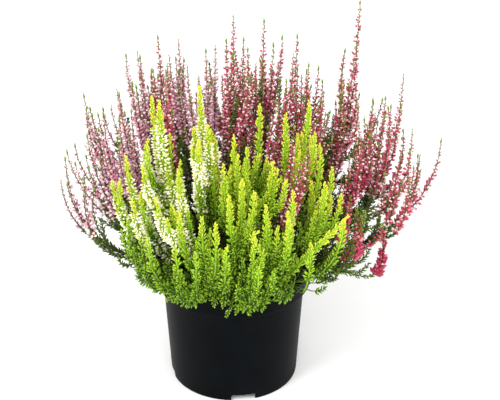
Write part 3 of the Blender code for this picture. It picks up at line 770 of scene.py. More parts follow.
# Things set round a shoot: places along it, each turned by the golden angle, or in pairs that cross each other
# low on the plant and are looser higher up, and the way outwards there.
def setRound(points, start, end, step, rng, paired=False):
    s = roundLook
    count = max(1, int((end - start) / step))
    order = np.arange(count)
    places = start + ((order // 2 * 2 if paired else order) + 0.5) * (end - start) / count
    places = np.clip(places + rng.uniform(-s["jitter"], s["jitter"], count) * step, start, end)
    centre, ahead, side, other = alongShoot(points, places)
    turn = math.pi * (order % 2 + order // 2 % 2 / 2) if paired else goldenAngle * order
    high = np.clip((centre[:, 2] - s["looseFrom"]) / s["looseOver"], 0, 1)
    loose = s["loose"] + (s["looser"] * high if paired else 0)
    turn = turn + loose * rng.uniform(-1, 1, count) + rng.uniform(0, s["pairTurn" if paired else "turn"])
    outward = side * np.cos(turn)[:, None] + other * np.sin(turn)[:, None]
    return places, centre, ahead, outward


# Directions that lean from the shoot's own towards the way outwards, by angles in radians.
def leant(ahead, outward, lean):
    return unit(ahead * np.cos(lean)[:, None] + outward * np.sin(lean)[:, None])


budLook = {
    "step": 0.82, "length": 4.2, "width": 2.2, "lean": 1.15, "leanVary": (-0.3, 0.25), "curl": 1.2,
    "stalk": 0.8, "taper": 52.0, "taperPower": 0.7, "smallest": 0.46, "more": 0.54, "swell": 0.22,
    "sizeVary": (0.8, 1.1), "whorl": 3.3, "gather": 0.6, "fewest": 0.24, "moreBuds": 0.76,
    "toneShape": 0.9, "paleTip": 0.25, "paler": 0.8, "dullRight": 0.13, "dullFrom": 40.0, "dullOver": 50.0,
    "knob": 0.75, "knobLength": 5.0, "knobWidth": 2.1, "knobTone": 0.5, "knobReach": 0.8,
    "bareTip": 8.0, "bareKnobless": 0.4, "stem": (0.85, 0.35),
}


# A flower spike: buds in loose whorls round a slim stem, fewer towards its tip, with small leaves among them.
# Most spikes end in a green knob of unopened buds. Fullness is the share of the buds that are there.
def budSpike(heap, points, start, rng, finish, fullness, scale, paler):
    s = budLook
    end = lengths(points)[-1]
    stemTube(heap, points, max(0, start - 3), end, *s["stem"], 3, "bark")
    knobbed = rng.random() < s["knob"]
    last = end - s["bareTip"] * (1.0 if knobbed else s["bareKnobless"])
    places, centre, ahead, outward = setRound(points, start, last, s["step"], rng)
    count = len(places)
    whorl = (np.round(places / s["whorl"]) * s["whorl"] - places) * s["gather"]
    centre = centre + ahead * whorl[:, None]
    share = np.clip((end - places) / s["taper"], 0, 1) ** s["taperPower"]
    reach = (places - start) / (end - start)
    size = scale * (s["smallest"] + s["more"] * share + s["swell"] * (1 - reach) ** 2)
    size = size * rng.uniform(*s["sizeVary"], count)
    keep = rng.random(count) < fullness * (s["fewest"] + s["moreBuds"] * share)
    point = leant(ahead, outward, s["lean"] + rng.uniform(*s["leanVary"], count))
    root = centre + outward * (s["stalk"] * share)[:, None]
    dull = s["dullRight"] * np.clip((centre[:, 0] - s["dullFrom"]) / s["dullOver"], 0, 1)
    tone = rng.beta(s["toneShape"], s["toneShape"], count) + s["paleTip"] * (1 - share) + s["paler"] * paler
    tone = np.clip(tone - dull, 0, 1)
    copies(heap, templates["bud"], root[keep], point[keep], -outward[keep] + s["curl"] * ahead[keep],
           (size * s["length"])[keep], (size * s["width"])[keep], tone[keep], reach[keep], finish)
    if knobbed:
        centre, ahead, side, _ = alongShoot(points, np.array([end - s["knobLength"]]))
        values = [np.array([s[key]]) for key in ("knobLength", "knobWidth", "knobTone", "knobReach")]
        copies(heap, templates["bud"], centre, ahead, side, *values, "greenLeaf")
    spikeLeaves(heap, points, start, end, rng)


spikeLeafLook = {
    "step": 2.1, "length": 3.1, "width": 1.1, "lean": 0.85, "leanVary": (0.7, 1.2), "stalk": 0.4,
    "taper": 12.0, "smallest": 0.40, "reach": 0.55, "topReach": 0.45, "topOver": 30.0,
}


# The leaves among the buds of a spike, shorter at its tip and fresher there.
def spikeLeaves(heap, points, start, end, rng):
    s = spikeLeafLook
    places, centre, ahead, outward = setRound(points, start, end, s["step"], rng)
    count = len(places)
    point = leant(ahead, outward, s["lean"] * rng.uniform(*s["leanVary"], count))
    size = np.clip((end - places) / s["taper"], s["smallest"], 1)
    reach = s["reach"] + s["topReach"] * np.clip(1 - (end - places) / s["topOver"], 0, 1)
    copies(heap, templates["leaf"], centre + outward * s["stalk"], point, ahead, size * s["length"],
           np.full(count, s["width"]), rng.uniform(0, 1, count), reach, "greenLeaf")


twigLook = {
    "step": 1.0, "length": 4.7, "width": 1.7, "lean": 0.70, "leanVary": (0.75, 1.25), "stalk": 0.3,
    "taper": 12.0, "smallest": 0.55, "more": 0.45, "stem": (0.6, 0.3),
}


# How young the leaves of each kind of twig are, from 0 to 1, at its root and at its tip.
twigReach = {
    "stem": (0.1, 0.5), "twig": (0.1, 0.9), "fill": (0.15, 0.85), "under": (0.05, 0.6), "leafy": (0.05, 0.55),
    "belowBuds": (0.2, 0.7), "plain": (0.5, 1.0),
}


# A leafy twig of the pink heathers: small needle leaves close together all round, up to end on its path.
def leafyTwig(heap, points, start, rng, kind, end=None, scale=1.0):
    s = twigLook
    end = end or lengths(points)[-1]
    stemTube(heap, points, max(0, start - 2), end, *s["stem"], 3, "bark")
    places, centre, ahead, outward = setRound(points, start, end, s["step"], rng)
    count = len(places)
    point = leant(ahead, outward, s["lean"] * rng.uniform(*s["leanVary"], count))
    size = scale * (s["smallest"] + s["more"] * np.clip((end - places) / s["taper"], 0, 1))
    share = (places - start) / max(end - start, 1e-6)
    low, high = twigReach[kind]
    reach = low + (high - low) * share
    copies(heap, templates["leaf"], centre + outward * s["stalk"], point, ahead, size * s["length"],
           np.full(count, s["width"]), rng.uniform(0, 1, count), reach, "greenLeaf")


# Several leafy twigs, each in leaf from close to its root on.
def leafyTwigs(heap, paths, rng, kind, start=2.0):
    for path in paths:
        leafyTwig(heap, path, start, rng, kind)


# The reach of a shoot is how young its growth is, from 0 for old and dark to 1 for fresh and yellow.
limeLook = {
    "step": 0.62, "length": 3.6, "lowerLength": 2.2, "airyLength": 1.0, "width": 1.65, "sizeVary": (0.8, 1.15),
    "lean": 0.68, "airyLean": 0.26, "leanVary": (0.8, 1.2), "stem": (0.4, 5), "core": 0.8,
    "lowerCore": 0.7, "airyCore": 0.6, "inCore": 0.8, "blunt": 13.0, "tipShare": 0.35, "taper": 58.0,
    "taperPower": 0.75, "airyFrom": 200.0, "airyTo": 135.0, "thin": 0.28, "thinBelow": 0.5, "coreReach": 0.8,
    "shade": 0.93, "vary": (-0.22, 0.08), "lowVary": 0.14, "lowBelow": 200.0, "reachPower": 1.2,
    "varyFall": 0.6, "leastReach": 0.44, "moreReach": 0.56, "reachFrom": 125.0, "reachOver": 105.0,
    "rightFrom": 30.0, "rightOver": 50.0, "rightReach": 0.5, "rightRoot": 0.3, "rightDim": 0.42,
    "dimBeyond": 76.0, "dimBelow": 188.0,
    "rimLow": (50.0, -112.0, 0.0), "rimHigh": (71.0, -18.0, 150.0), "rimSize": 0.5, "rimThin": 0.88,
    "coreStart": 3, "coreEnd": 1.5, "lastTwiglet": 1.0, "tipSize": 0.5, "moreTip": 0.5, "rootSize": 0.35,
    "moreRoot": 0.65, "rootOver": 10, "rootFrom": 0.2, "tipLean": 0.4, "moreLean": 0.6, "tone": 0.5,
    "toneVary": 0.25,
}


# How blunt a lime shoot is at its tip, how thick it is below, and how airy it is low on the plant, from 0 to 1.
def limeShares(toTip, centre, scale):
    s = limeLook
    blunt = np.clip(s["tipShare"] + (1 - s["tipShare"]) * toTip / s["blunt"], s["tipShare"], 1)
    below = np.clip(toTip / (s["taper"] * scale), 0, 1) ** s["taperPower"]
    airy = np.clip((s["airyFrom"] - centre[:, 2]) / (s["airyFrom"] - s["airyTo"]), 0, 1)
    return blunt, below, airy


# A lime shoot: a leafy core closely set with small scaly twiglets, longer and looser low on the plant.
def limeShoot(heap, points, start, rng, lowReach=0.0, scale=1.0, slim=1.0):
    s = limeLook
    end = lengths(points)[-1]
    x, _, z = points[-1]
    right = min(1.0, max(0.0, (x - s["rightFrom"]) / s["rightOver"]))
    high = max(0.0, (z - s["reachFrom"]) / s["reachOver"])
    topReach = s["leastReach"] + s["moreReach"] * min(1.0, high + s["rightReach"] * right)
    lowReach = lowReach + s["rightRoot"] * right
    vary = rng.uniform(*s["vary"]) - (s["lowVary"] * rng.random() if z < s["lowBelow"] else 0)
    vary -= s["rightDim"] if x > s["dimBeyond"] and z < s["dimBelow"] else 0

    def core(toTip, centre):
        blunt, below, airy = limeShares(toTip, centre, scale)
        return blunt * scale * slim * (s["core"] + s["lowerCore"] * below) * (1 - s["airyCore"] * airy)

    thin, sides = s["stem"]
    coreReach = s["coreReach"] * (topReach + vary)
    foot = max(0, start - s["coreStart"])
    stemTube(heap, points, foot, end - s["coreEnd"], 0, thin, sides, "limeLeaf", core, coreReach)
    last = end - s["lastTwiglet"]
    places, centre, ahead, outward = setRound(points, start, last, s["step"], rng, paired=True)
    count = len(places)
    blunt, below, airy = limeShares(end - places, centre, scale)
    size = s["length"] + (s["lowerLength"] * below + s["airyLength"] * airy) * scale
    size = size * (s["tipSize"] + s["moreTip"] * blunt) * rng.uniform(*s["sizeVary"], count)
    grown = np.clip((places - start) / s["rootOver"] + s["rootFrom"], 0, 1)
    size = size * (s["rootSize"] + s["moreRoot"] * grown)
    # The shoots are almost bare where they cross the stretch of the pot's rim that shows.
    atRim = ((centre > s["rimLow"]) & (centre < s["rimHigh"])).all(axis=1)
    size = np.where(atRim, s["rimSize"] * size, size)
    lean = s["lean"] * (s["tipLean"] + s["moreLean"] * blunt) + s["airyLean"] * airy
    point = leant(ahead, outward, lean * rng.uniform(*s["leanVary"], count))
    share = (places - start) / max(end - start, 1e-6)
    reach = lowReach + (topReach - lowReach) * share ** s["reachPower"] + vary * (1 - s["varyFall"] * share)
    # Low, airy growth gets a lower reach from the shade setting, so it is darker: partly older growth, partly
    # painted shade.
    reach = reach * (1 - s["shade"] * airy)
    root = centre + outward * (s["inCore"] * core(end - places, centre))[:, None]
    tone = np.clip(rng.normal(s["tone"], s["toneVary"], count), 0, 1)
    missing = s["thin"] * np.maximum(airy, s["thinBelow"] * below) + s["rimThin"] * atRim
    keep = rng.random(count) > missing
    copies(heap, templates["twiglet"], root[keep], point[keep], ahead[keep], size[keep],
           np.full(keep.sum(), s["width"]), tone[keep], reach[keep], "limeLeaf")


whiteLook = {
    "step": 0.40, "length": 4.4, "width": 2.0, "sizeVary": (0.7, 1.1), "lean": 1.30, "leanVary": (0.8, 1.15),
    "stalk": 2.1, "from": 0.14, "to": 0.83, "fromMiddle": 0.30, "left": -80.0, "middle": -35.0,
    "peak": 0.64, "wide": 0.34, "fewest": 0.30, "more": 0.70, "smallest": 0.7, "larger": 0.3,
    "tone": 0.65, "toneVary": 0.25, "narrowing": 4,
}


# White buds round the middle of a lime shoot, fewer towards both ends, and from lower down on those at the
# left.
def whiteBuds(heap, points, start, rng):
    s = whiteLook
    end = lengths(points)[-1]
    inwards = np.clip((points[-1, 0] - s["left"]) / (s["middle"] - s["left"]), 0, 1)
    low = start + (end - start) * (s["from"] + s["fromMiddle"] * inwards)
    high = start + (end - start) * s["to"]
    places, centre, ahead, outward = setRound(points, low, high, s["step"], rng)
    count = len(places)
    share = (places - low) / (high - low)
    bell = np.exp(-((share - s["peak"]) / s["wide"]) ** 2)
    keep = rng.random(count) < s["fewest"] + s["more"] * bell
    point = leant(ahead, outward, s["lean"] * rng.uniform(*s["leanVary"], count))
    narrower = np.clip(s["narrowing"] * (1 - share), 0, 1)
    size = rng.uniform(*s["sizeVary"], count) * (s["smallest"] + s["larger"] * narrower)
    tone = np.clip(rng.normal(s["tone"], s["toneVary"], count), 0, 1)
    copies(heap, templates["bud"], (centre + outward * s["stalk"])[keep], point[keep], ahead[keep],
           (size * s["length"])[keep], (size * s["width"])[keep], tone[keep], share[keep], "whiteBud")


# Beyond the shoots of the solids: spikes and shoots between them, twigs, and sprigs that hang over the rim.
# Those named "more" are added to the counts, by spray.
fillLook = {
    "spikes": 7, "spikeReach": (0.60, 0.98), "scatter": 9.0, "sway": 3.0, "least": 30.0, "leastRise": 8.0,
    "leafyShare": (0.10, 0.28), "plain": 0.10, "plainBelow": 235.0,
    "thinner": {"lilac_01": 0.62, "lilac_02": 0.72, "lilac_08": 0.85, "rose_06": 0.75, "rose_08": 0.82,
                "rose_09": 0.8},
    "slimStems": {"lilac_01": 0.5, "rose_09": 0.6},
    "greenTwigs": 17, "fewerTwigs": 4, "greenLength": (20.0, 46.0), "greenSprigs": 3,
    "underShoots": 4, "fewerUnder": 3, "underReach": (0.32, 0.54), "sparseBelow": 245.0,
    "leafySpikes": {"rose_12": 7, "rose_13": 5, "lilac_08": 4, "rose_02": 3, "rose_03": 3, "rose_04": 3,
                    "lilac_07": 2},
    "leafyReach": (0.45, 0.76),
    "moreUnder": {"rose_01": 3, "rose_02": 4, "rose_03": 4, "rose_04": 4, "rose_05": 3, "rose_06": 5,
                  "rose_07": 4, "rose_10": 3, "rose_11": 8, "rose_13": 3, "lilac_07": 3, "lilac_06": 2},
    "moreSpikes": {"rose_01": 2, "rose_02": 2, "rose_03": 2, "rose_04": 3, "rose_05": 7, "rose_06": 2,
                   "rose_07": 5, "lilac_05": 2, "lilac_06": 2, "lilac_01": -4, "lilac_02": -2},
    "moreTwigs": {"lilac_01": -7, "lilac_02": -5, "rose_11": 16, "rose_12": 4},
    "limeShoots": 9, "limeReach": (0.40, 0.92),
    "moreLime": {4: 8, 5: 6, 9: 3, 11: -6, 12: 5, 13: 3, 16: -5},
    "limeTwigs": 5, "limeLength": (16.0, 30.0), "limeSprigs": 5, "whiteShare": 0.6,
}


# Shoots between those of a spray: from a random place on its main shoot, none below the given share of the way
# to its fork, towards a mix of its tips. Each sways off its curve by a sine.
def fillShoots(spray, count, reach, rng, lowest=0.6):
    main = spray["shoots"][0]["points"]
    fork = spray["fork"]
    tips = np.array([shoot["points"][-1] for shoot in spray["shoots"] if not shoot["twig"]])
    lowRow = int(lowest * fork)
    highRow = int((lowest + 0.4) * fork + (lowest - 0.25) * (len(main) - fork))
    paths = []
    for _ in range(count):
        target = rng.dirichlet(np.ones(len(tips))) @ tips
        root = main[rng.integers(lowRow, highRow)]
        tip = root + (target - root) * rng.uniform(*reach)
        tip += rng.uniform(-1, 1, 3) * fillLook["scatter"]
        if np.linalg.norm(tip - root) > fillLook["least"] and tip[2] > root[2] + fillLook["leastRise"]:
            path = sideShoot(root, tip, spray["rise"])
            share = np.linspace(0, 1, len(path))[:, None]
            paths.append(path + np.sin(math.pi * share) * rng.normal(0, fillLook["sway"], 3))
    return paths


# Twigs stay above the soil, and clear of the pot's rim where they reach over it, most of all in the stretch
# where the rim shows.
twigRoom = {"soil": 101.0, "rim": 62.0, "overRim": 113.0, "shown": (40.0, 74.0), "overShown": 128.0}
# The two stretches of a twig, as shares of its length, and how each mixes the ways out, ahead and up.
twigBend = {
    "jitter": 0.5, "away": 0.35, "first": 0.5, "ahead": 0.5, "second": 0.55, "tipOut": 0.6, "tipAhead": 0.8,
    "tipUp": 0.5, "step": 4.0,
}


# Twigs on a stem: from random places on it, outwards and bent upwards.
def fillTwigs(points, start, end, count, rng, lengthRange):
    s = twigBend
    places = np.sort(rng.uniform(start, end, count))
    centre, ahead, side, other = alongShoot(points, places)
    paths = []
    for k in range(count):
        turn = goldenAngle * k + rng.uniform(-s["jitter"], s["jitter"])
        away = unit(np.array([centre[k][0], centre[k][1], 0.0]) + 1e-6)
        outward = side[k] * math.cos(turn) + other[k] * math.sin(turn) + s["away"] * away
        length = rng.uniform(*lengthRange)
        middle = centre[k] + length * s["first"] * unit(outward + s["ahead"] * ahead[k])
        bent = outward * s["tipOut"] + ahead[k] * s["tipAhead"] + np.array([0, 0, s["tipUp"]])
        tip = middle + length * s["second"] * unit(bent)
        low = min(middle[2], tip[2])
        shown = twigRoom["shown"][0] < tip[0] < twigRoom["shown"][1]
        room = twigRoom["overShown" if shown else "overRim"]
        if low < twigRoom["soil"] or (np.hypot(*tip[:2]) > twigRoom["rim"] and low < room):
            continue
        paths.append(curve(centre[k], middle, tip, s["step"]))
    return paths


# None of the sprigs turns into the bare range, an angle in radians, where the rim shows.
skirtLook = {
    "root": (44.0, 54.0), "rootHeight": 101.0, "over": 128.0, "overOut": 68.0, "reach": (72.0, 84.0),
    "low": (110.0, 124.0), "fan": 0.32, "bare": (-0.95, 0.15), "step": 5.0,
}


# Sprigs that lie over the pot's rim, fanned out about the way from the middle to a stem's foot.
def skirtSprigs(foot, count, rng):
    s = skirtLook
    heading = math.atan2(foot[1], foot[0])
    paths = []
    for _ in range(count):
        turn = heading + rng.uniform(-1, 1) * s["fan"]
        if s["bare"][0] < turn < s["bare"][1]:
            continue
        out = np.array([math.cos(turn), math.sin(turn), 0.0])
        root = out * rng.uniform(*s["root"]) + np.array([0, 0, s["rootHeight"]])
        tip = out * rng.uniform(*s["reach"]) + np.array([0, 0, rng.uniform(*s["low"])])
        over = out * s["overOut"] + np.array([0, 0, s["over"]])
        paths.append(curve(root, 2 * over - (root + tip) / 2, tip, s["step"]))
    return paths


# Shoots that stand out from the rest, by spray: the row of the main shoot that each grows from, then points.
strayShoots = {
    "lime_10": (
        (6, (24, -80, 116), (27, -95, 134), (37, -98, 166)),
        (6, (12, -82, 114), (16, -99, 146), (23, -105, 174), (25, -106, 184), (19, -107, 196), (17, -107, 204),
         (22, -108, 209)),
    ),
    "lime_11": (
        (6, (31, -54, 122), (47, -74, 146), (62, -88, 170), (79, -97, 195), (97, -103, 221)),
        (6, (60, -47, 114), (73, -50, 112), (81, -51, 117)),
        (6, (60, -44, 118), (75, -47, 119), (86, -48, 128)),
        (6, (58, -44, 120), (71, -42, 124), (80, -42, 134)),
    ),
    "rose_11": (
        (14, (84, -31, 127), (97, -34, 123), (112, -33, 117), (122, -31, 116), (128, -29, 122), (131, -28, 134),
         (131, -27, 150), (130, -26, 166)),
        (14, (84, -38, 130), (95, -44, 133), (104, -47, 140), (107, -48, 152), (108, -49, 172),
         (107, -50, 194)),
    ),
}
leafyStrays = {
    "rose_11": (
        (10, (71, -27, 123), (82, -34, 129), (90, -38, 139), (95, -41, 154)),
        (12, (77, -22, 122), (88, -26, 126), (97, -29, 135), (102, -30, 148)),
        (12, (76, -32, 124), (86, -40, 126), (94, -46, 134), (98, -48, 146)),
        (14, (84, -29, 128), (96, -30, 127), (106, -30, 130), (113, -30, 138)),
        (12, (73, -36, 128), (80, -46, 131), (86, -53, 139), (89, -56, 151)),
        (14, (88, -32, 124), (101, -34, 121), (112, -33, 122), (119, -32, 130)),
        (14, (90, -33, 128), (104, -33, 129), (114, -32, 134), (119, -31, 144)),
        (12, (75, -40, 124), (83, -50, 124), (88, -57, 130), (91, -61, 141)),
        (12, (72, -38, 132), (79, -48, 138), (84, -55, 148), (87, -58, 160)),
        (14, (86, -42, 136), (96, -50, 140), (102, -54, 150), (104, -56, 163)),
    ),
}
# The tips of shoots that fill gaps between the others, by spray. They start at its fork.
strayTips = {
    "lilac_04": ((-88, 8, 262),),
    "lilac_02": ((-124, 8, 228), (-116, 4, 216)),
    "lilac_07": ((-40, 40, 288), (-37, 30, 262)),
    "rose_02": ((-10, 55, 271),),
    "rose_04": ((62, 36, 262),),
    "rose_05": ((60, 50, 274),),
    "rose_07": ((101, -4, 222), (94, -8, 205)),
    "rose_09": ((132, 0, 204),),
    "lime_15": ((-86, -58, 162), (-75, -72, 152), (-79, -65, 176), (-66, -82, 166), (-90, -50, 184),
                (-96, -40, 170)),
}
leafyTips = {"rose_09": ((128, -5, 165),), "rose_07": ((112, -14, 176),)}


# The path of a stray shoot, from its row of the spray's main shoot on.
def strayPath(spray, shoot):
    row, *points = shoot
    return np.concatenate([spray["shoots"][0]["points"][row : row + 1], np.array(points, float)])


# The path from a spray's fork to a tip.
def forkPath(spray, tip):
    return sideShoot(spray["shoots"][0]["points"][spray["fork"]], tip, spray["rise"])


plants = {"lilac": lilacSprays, "rose": roseSprays, "lime": limeSprays}
wanted = []
for rows in plants.values():
    wanted += [growth["footShare"] * np.mean([tip[:2] for tip in row[2:]], axis=0) for row in rows]
feet = spreadFeet(wanted)
sprays, used = [], 0
for kind, rows in plants.items():
    sprays += growSprays(rows, kind, feet[used : used + len(rows)])
    used += len(rows)
bendClear(sprays)
print("shoots laid out")


# No shoot flowers below the height, less by the fall for every millimetre that its tip is past out. The lush
# spray's shoots are in thick bud over their last stretch alone.
flowerLevel = {
    "height": 164.0, "out": 110.0, "fall": 0.35, "highest": 0.72, "leafyOver": 6.0, "leafScale": 0.78,
    "fullness": (0.78, 1.0), "thinFrom": 170.0, "lush": 52.0, "lushPasses": 2, "lushScale": 1.1,
    "lushPaler": -0.40, "strayScale": 1.3, "leastBare": 4.0, "leafyFrom": 3.0,
}
lushSpray = "rose_11"


# A flowering shoot: leafy at its root, then in bud.
def floweringShoot(heap, points, rng, finish, leafyShare, lush, full, scale=1.0):
    s = flowerLevel
    run = lengths(points)
    end = run[-1]
    level = s["height"] - s["fall"] * max(0.0, np.hypot(*points[-1, :2]) - s["out"])
    high = run[np.argmax(points[:, 2] > level)] if points[-1, 2] > level else end
    if lush:
        bare = max(s["leastBare"], end - s["lush"])
    else:
        bare = min(max(leafyShare * end, high), s["highest"] * end)
    leafyTwig(heap, points, s["leafyFrom"], rng, "belowBuds", bare + s["leafyOver"], s["leafScale"])
    fullness = full * rng.uniform(*s["fullness"]) * min(1.0, s["thinFrom"] / end)
    if lush:
        for _ in range(s["lushPasses"]):
            budSpike(heap, points, bare, rng, finish, fullness, s["lushScale"] * scale, s["lushPaler"])
    else:
        budSpike(heap, points, bare, rng, finish, fullness, 1.0, 1 - full)


pinkLook = {
    "leafFrom": 34.0, "twigsFrom": 24.0, "underFrom": 0.45, "mainLeafy": 0.06, "sideLeafy": 0.16,
    "twigStart": 3.0, "plainScale": 0.85,
}


# A spray of a pink heather: its stem and twigs in leaf are one piece, and its flower spikes another.
def makePinkSpray(name, spray, budFinish, rng):
    look = pinkLook
    main, *others = spray["shoots"]
    fork = spray["fork"]
    run = lengths(main["points"])
    lush = name == lushSpray
    full = fillLook["thinner"].get(name, 1.0)
    stem, spikes = newHeap(), newHeap()

    def flowers(path, leafyShare, scale=1.0):
        floweringShoot(spikes, path, rng, budFinish, leafyShare, lush, full, scale)

    plainStem(stem, main["points"], run[fork])
    leafy = main["points"][: fork + 1]
    leafyTwig(stem, leafy, look["leafFrom"], rng, "stem", scale=fillLook["slimStems"].get(name, 1.0))
    sparse = main["points"][-1][2] < fillLook["sparseBelow"]
    count = fillLook["greenTwigs"] - fillLook["fewerTwigs"] * sparse + fillLook["moreTwigs"].get(name, 0)
    twigs = fillTwigs(leafy, look["twigsFrom"], run[fork], count, rng, fillLook["greenLength"])
    leafyTwigs(stem, twigs, rng, "fill")
    count = fillLook["underShoots"] - fillLook["fewerUnder"] * sparse + fillLook["moreUnder"].get(name, 0)
    leafyTwigs(stem, fillShoots(spray, count, fillLook["underReach"], rng, look["underFrom"]), rng, "under")
    count = fillLook["leafySpikes"].get(name, 0)
    leafyTwigs(stem, fillShoots(spray, count, fillLook["leafyReach"], rng), rng, "leafy")
    leafyTwigs(stem, skirtSprigs(main["points"][0], fillLook["greenSprigs"], rng), rng, "fill")
    flowers(main["points"][fork:], look["mainLeafy"])
    for shoot in others:
        if shoot["twig"]:
            leafyTwig(stem, shoot["points"], look["twigStart"], rng, "twig")
        else:
            flowers(shoot["points"], look["sideLeafy"])
    leafyTwigs(stem, [strayPath(spray, shoot) for shoot in leafyStrays.get(name, ())], rng, "under")
    leafyTwigs(stem, [forkPath(spray, tip) for tip in leafyTips.get(name, ())], rng, "under")
    for shoot in strayShoots.get(name, ()):
        flowers(strayPath(spray, shoot), look["sideLeafy"], flowerLevel["strayScale"])
    for tip in strayTips.get(name, ()):
        flowers(forkPath(spray, tip), look["sideLeafy"])
    count = fillLook["spikes"] + fillLook["moreSpikes"].get(name, 0)
    for path in fillShoots(spray, count, fillLook["spikeReach"], rng):
        plain = rng.random() < fillLook["plain"] and not name.startswith("lilac")
        if lush or (plain and path[-1][2] < fillLook["plainBelow"]):
            leafyTwig(spikes, path, look["twigStart"], rng, "plain", scale=look["plainScale"])
        else:
            flowers(path, rng.uniform(*fillLook["leafyShare"]))
    pieceFromHeap(f"{name}_stem_leaves", stem, [f"{name}_stem"])
    pieceFromHeap(f"{name}_flower_spikes", spikes, [f"{name}_spikes"])


whiteSprays = (1, 2, 3, 4)
skirtSprays = (9, 10, 12, 13, 14, 15)
# A lime spray's kinds of shoots: where each starts on its path, the reach of its root, and its scale.
limeKinds = {
    "twig": (3.0, 0.0, 0.7), "fill": (2.0, 0.1, 0.85), "stray": (6.0, 0.5, 1.0), "tip": (4.0, 0.1, 0.9),
    "fillTwig": (2.0, 0.0, 0.65), "sprig": (2.0, 0.0, 0.75),
}
# Side shoots that end low at the right are smaller, and shoots with white buds are slimmer.
limeMain = {
    "stemEnd": 40.0, "start": 26.0, "sideStart": 3.0, "sideReach": 0.2, "smallBeyond": 50.0,
    "smallBelow": 125.0, "small": 0.55, "whiteSlim": 0.75, "whiteStart": 45.0, "whiteSideStart": 4.0,
    "twigsFrom": 24.0, "twigsTo": 0.5,
}


# A lime spray: stem, shoots, twigs and white buds in one piece.
def makeLimeSpray(name, spray, number, rng):
    look = limeMain
    main = spray["shoots"][0]["points"]
    heap = newHeap()
    white = number in whiteSprays

    def shoots(paths, kind):
        for path in paths:
            limeShoot(heap, path, limeKinds[kind][0], rng, *limeKinds[kind][1:])

    plainStem(heap, main, look["stemEnd"])
    for k, shoot in enumerate(spray["shoots"]):
        path = shoot["points"]
        if shoot["twig"]:
            shoots([path], "twig")
            continue
        x, _, z = path[-1]
        scale = look["small"] if x > look["smallBeyond"] and z < look["smallBelow"] else 1.0
        start, reach = (look["sideStart"], look["sideReach"]) if k else (look["start"], 0.0)
        limeShoot(heap, path, start, rng, reach, scale, look["whiteSlim"] if white else 1.0)
        if white:
            whiteBuds(heap, path, look["whiteSideStart" if k else "whiteStart"], rng)
    count = fillLook["limeShoots"] + fillLook["moreLime"].get(number, 0)
    for path in fillShoots(spray, count, fillLook["limeReach"], rng):
        shoots([path], "fill")
        if white and rng.random() < fillLook["whiteShare"]:
            whiteBuds(heap, path, look["whiteSideStart"], rng)
    shoots([strayPath(spray, shoot) for shoot in strayShoots.get(name, ())], "stray")
    shoots([forkPath(spray, tip) for tip in strayTips.get(name, ())], "tip")
    high = look["twigsTo"] * lengths(main)[-1]
    twigs = fillTwigs(main, look["twigsFrom"], high, fillLook["limeTwigs"], rng, fillLook["limeLength"])
    shoots(twigs, "fillTwig")
    if number in skirtSprays:
        shoots(skirtSprigs(main[0], fillLook["limeSprigs"], rng), "sprig")
    pieceFromHeap(f"{name}_leafy_shoots", heap, [name])


# Each spray has a seed of its own, from the first one on.
firstSeed = 100
order = dict.fromkeys(plants, 0)
for n, spray in enumerate(sprays):
    kind = spray["kind"]
    order[kind] += 1
    rng = np.random.default_rng(firstSeed + n)
    name = f"{kind}_{order[kind]:02d}"
    if kind == "lime":
        makeLimeSpray(name, spray, order[kind], rng)
    else:
        makePinkSpray(name, spray, f"{kind}Bud", rng)
print("plants grown")


def outwardFaces(mesh):
    shape = bmesh.new()
    shape.from_mesh(mesh)
    bmesh.ops.recalc_face_normals(shape, faces=shape.faces)
    shape.to_mesh(mesh)
    shape.free()


# A turned surface: rings of points at each (radius, height) of the profile, closed on the axis at both ends.
# Lift is a formula for the height in the place.
def turnedSurface(name, profile, segments, finish, lift=None):
    profile = np.array(profile, float)
    turns = 2 * math.pi * np.arange(segments) / segments
    inner = profile[1:-1]
    x = inner[:, :1] * np.cos(turns)[None]
    y = inner[:, :1] * np.sin(turns)[None]
    z = np.broadcast_to(inner[:, 1:], x.shape).copy()
    top = profile[-1, 1]
    if lift:
        z = lift(x, y, z)
        top = lift(np.zeros(1), np.zeros(1), np.full(1, top))[0]
    points = np.concatenate([[[0, 0, profile[0, 1]]], np.stack([x, y, z], 2).reshape(-1, 3), [[0, 0, top]]])
    low = 1 + (np.arange(len(inner) - 1) * segments)[:, None]
    here, after = np.arange(segments)[None], (np.arange(segments)[None] + 1) % segments
    quads = np.stack([low + here, low + after, low + segments + after, low + segments + here], 2)
    highest = 1 + (len(inner) - 1) * segments
    first = np.stack([after[0] + 1, here[0] + 1, np.zeros(segments, int)], 1)
    last = np.stack([here[0] + highest, after[0] + highest, np.full(segments, len(points) - 1)], 1)
    faces = quads.reshape(-1, 4).tolist() + first.tolist() + last.tolist()
    mesh = bpy.data.meshes.new(name)
    mesh.from_pydata((points * mm).tolist(), [], faces)
    mesh.materials.append(materials[finish])
    made = placed(name, mesh)
    outwardFaces(mesh)
    return made


# Points on a rounded corner, from one place to another about a bend, as a quadratic curve.
def rounded(start, corner, end, count=5):
    share = np.linspace(0, 1, count)[:, None]
    start, corner, end = (np.array(p, float) for p in (start, corner, end))
    return ((1 - share) ** 2 * start + 2 * share * (1 - share) * corner + share**2 * end).tolist()


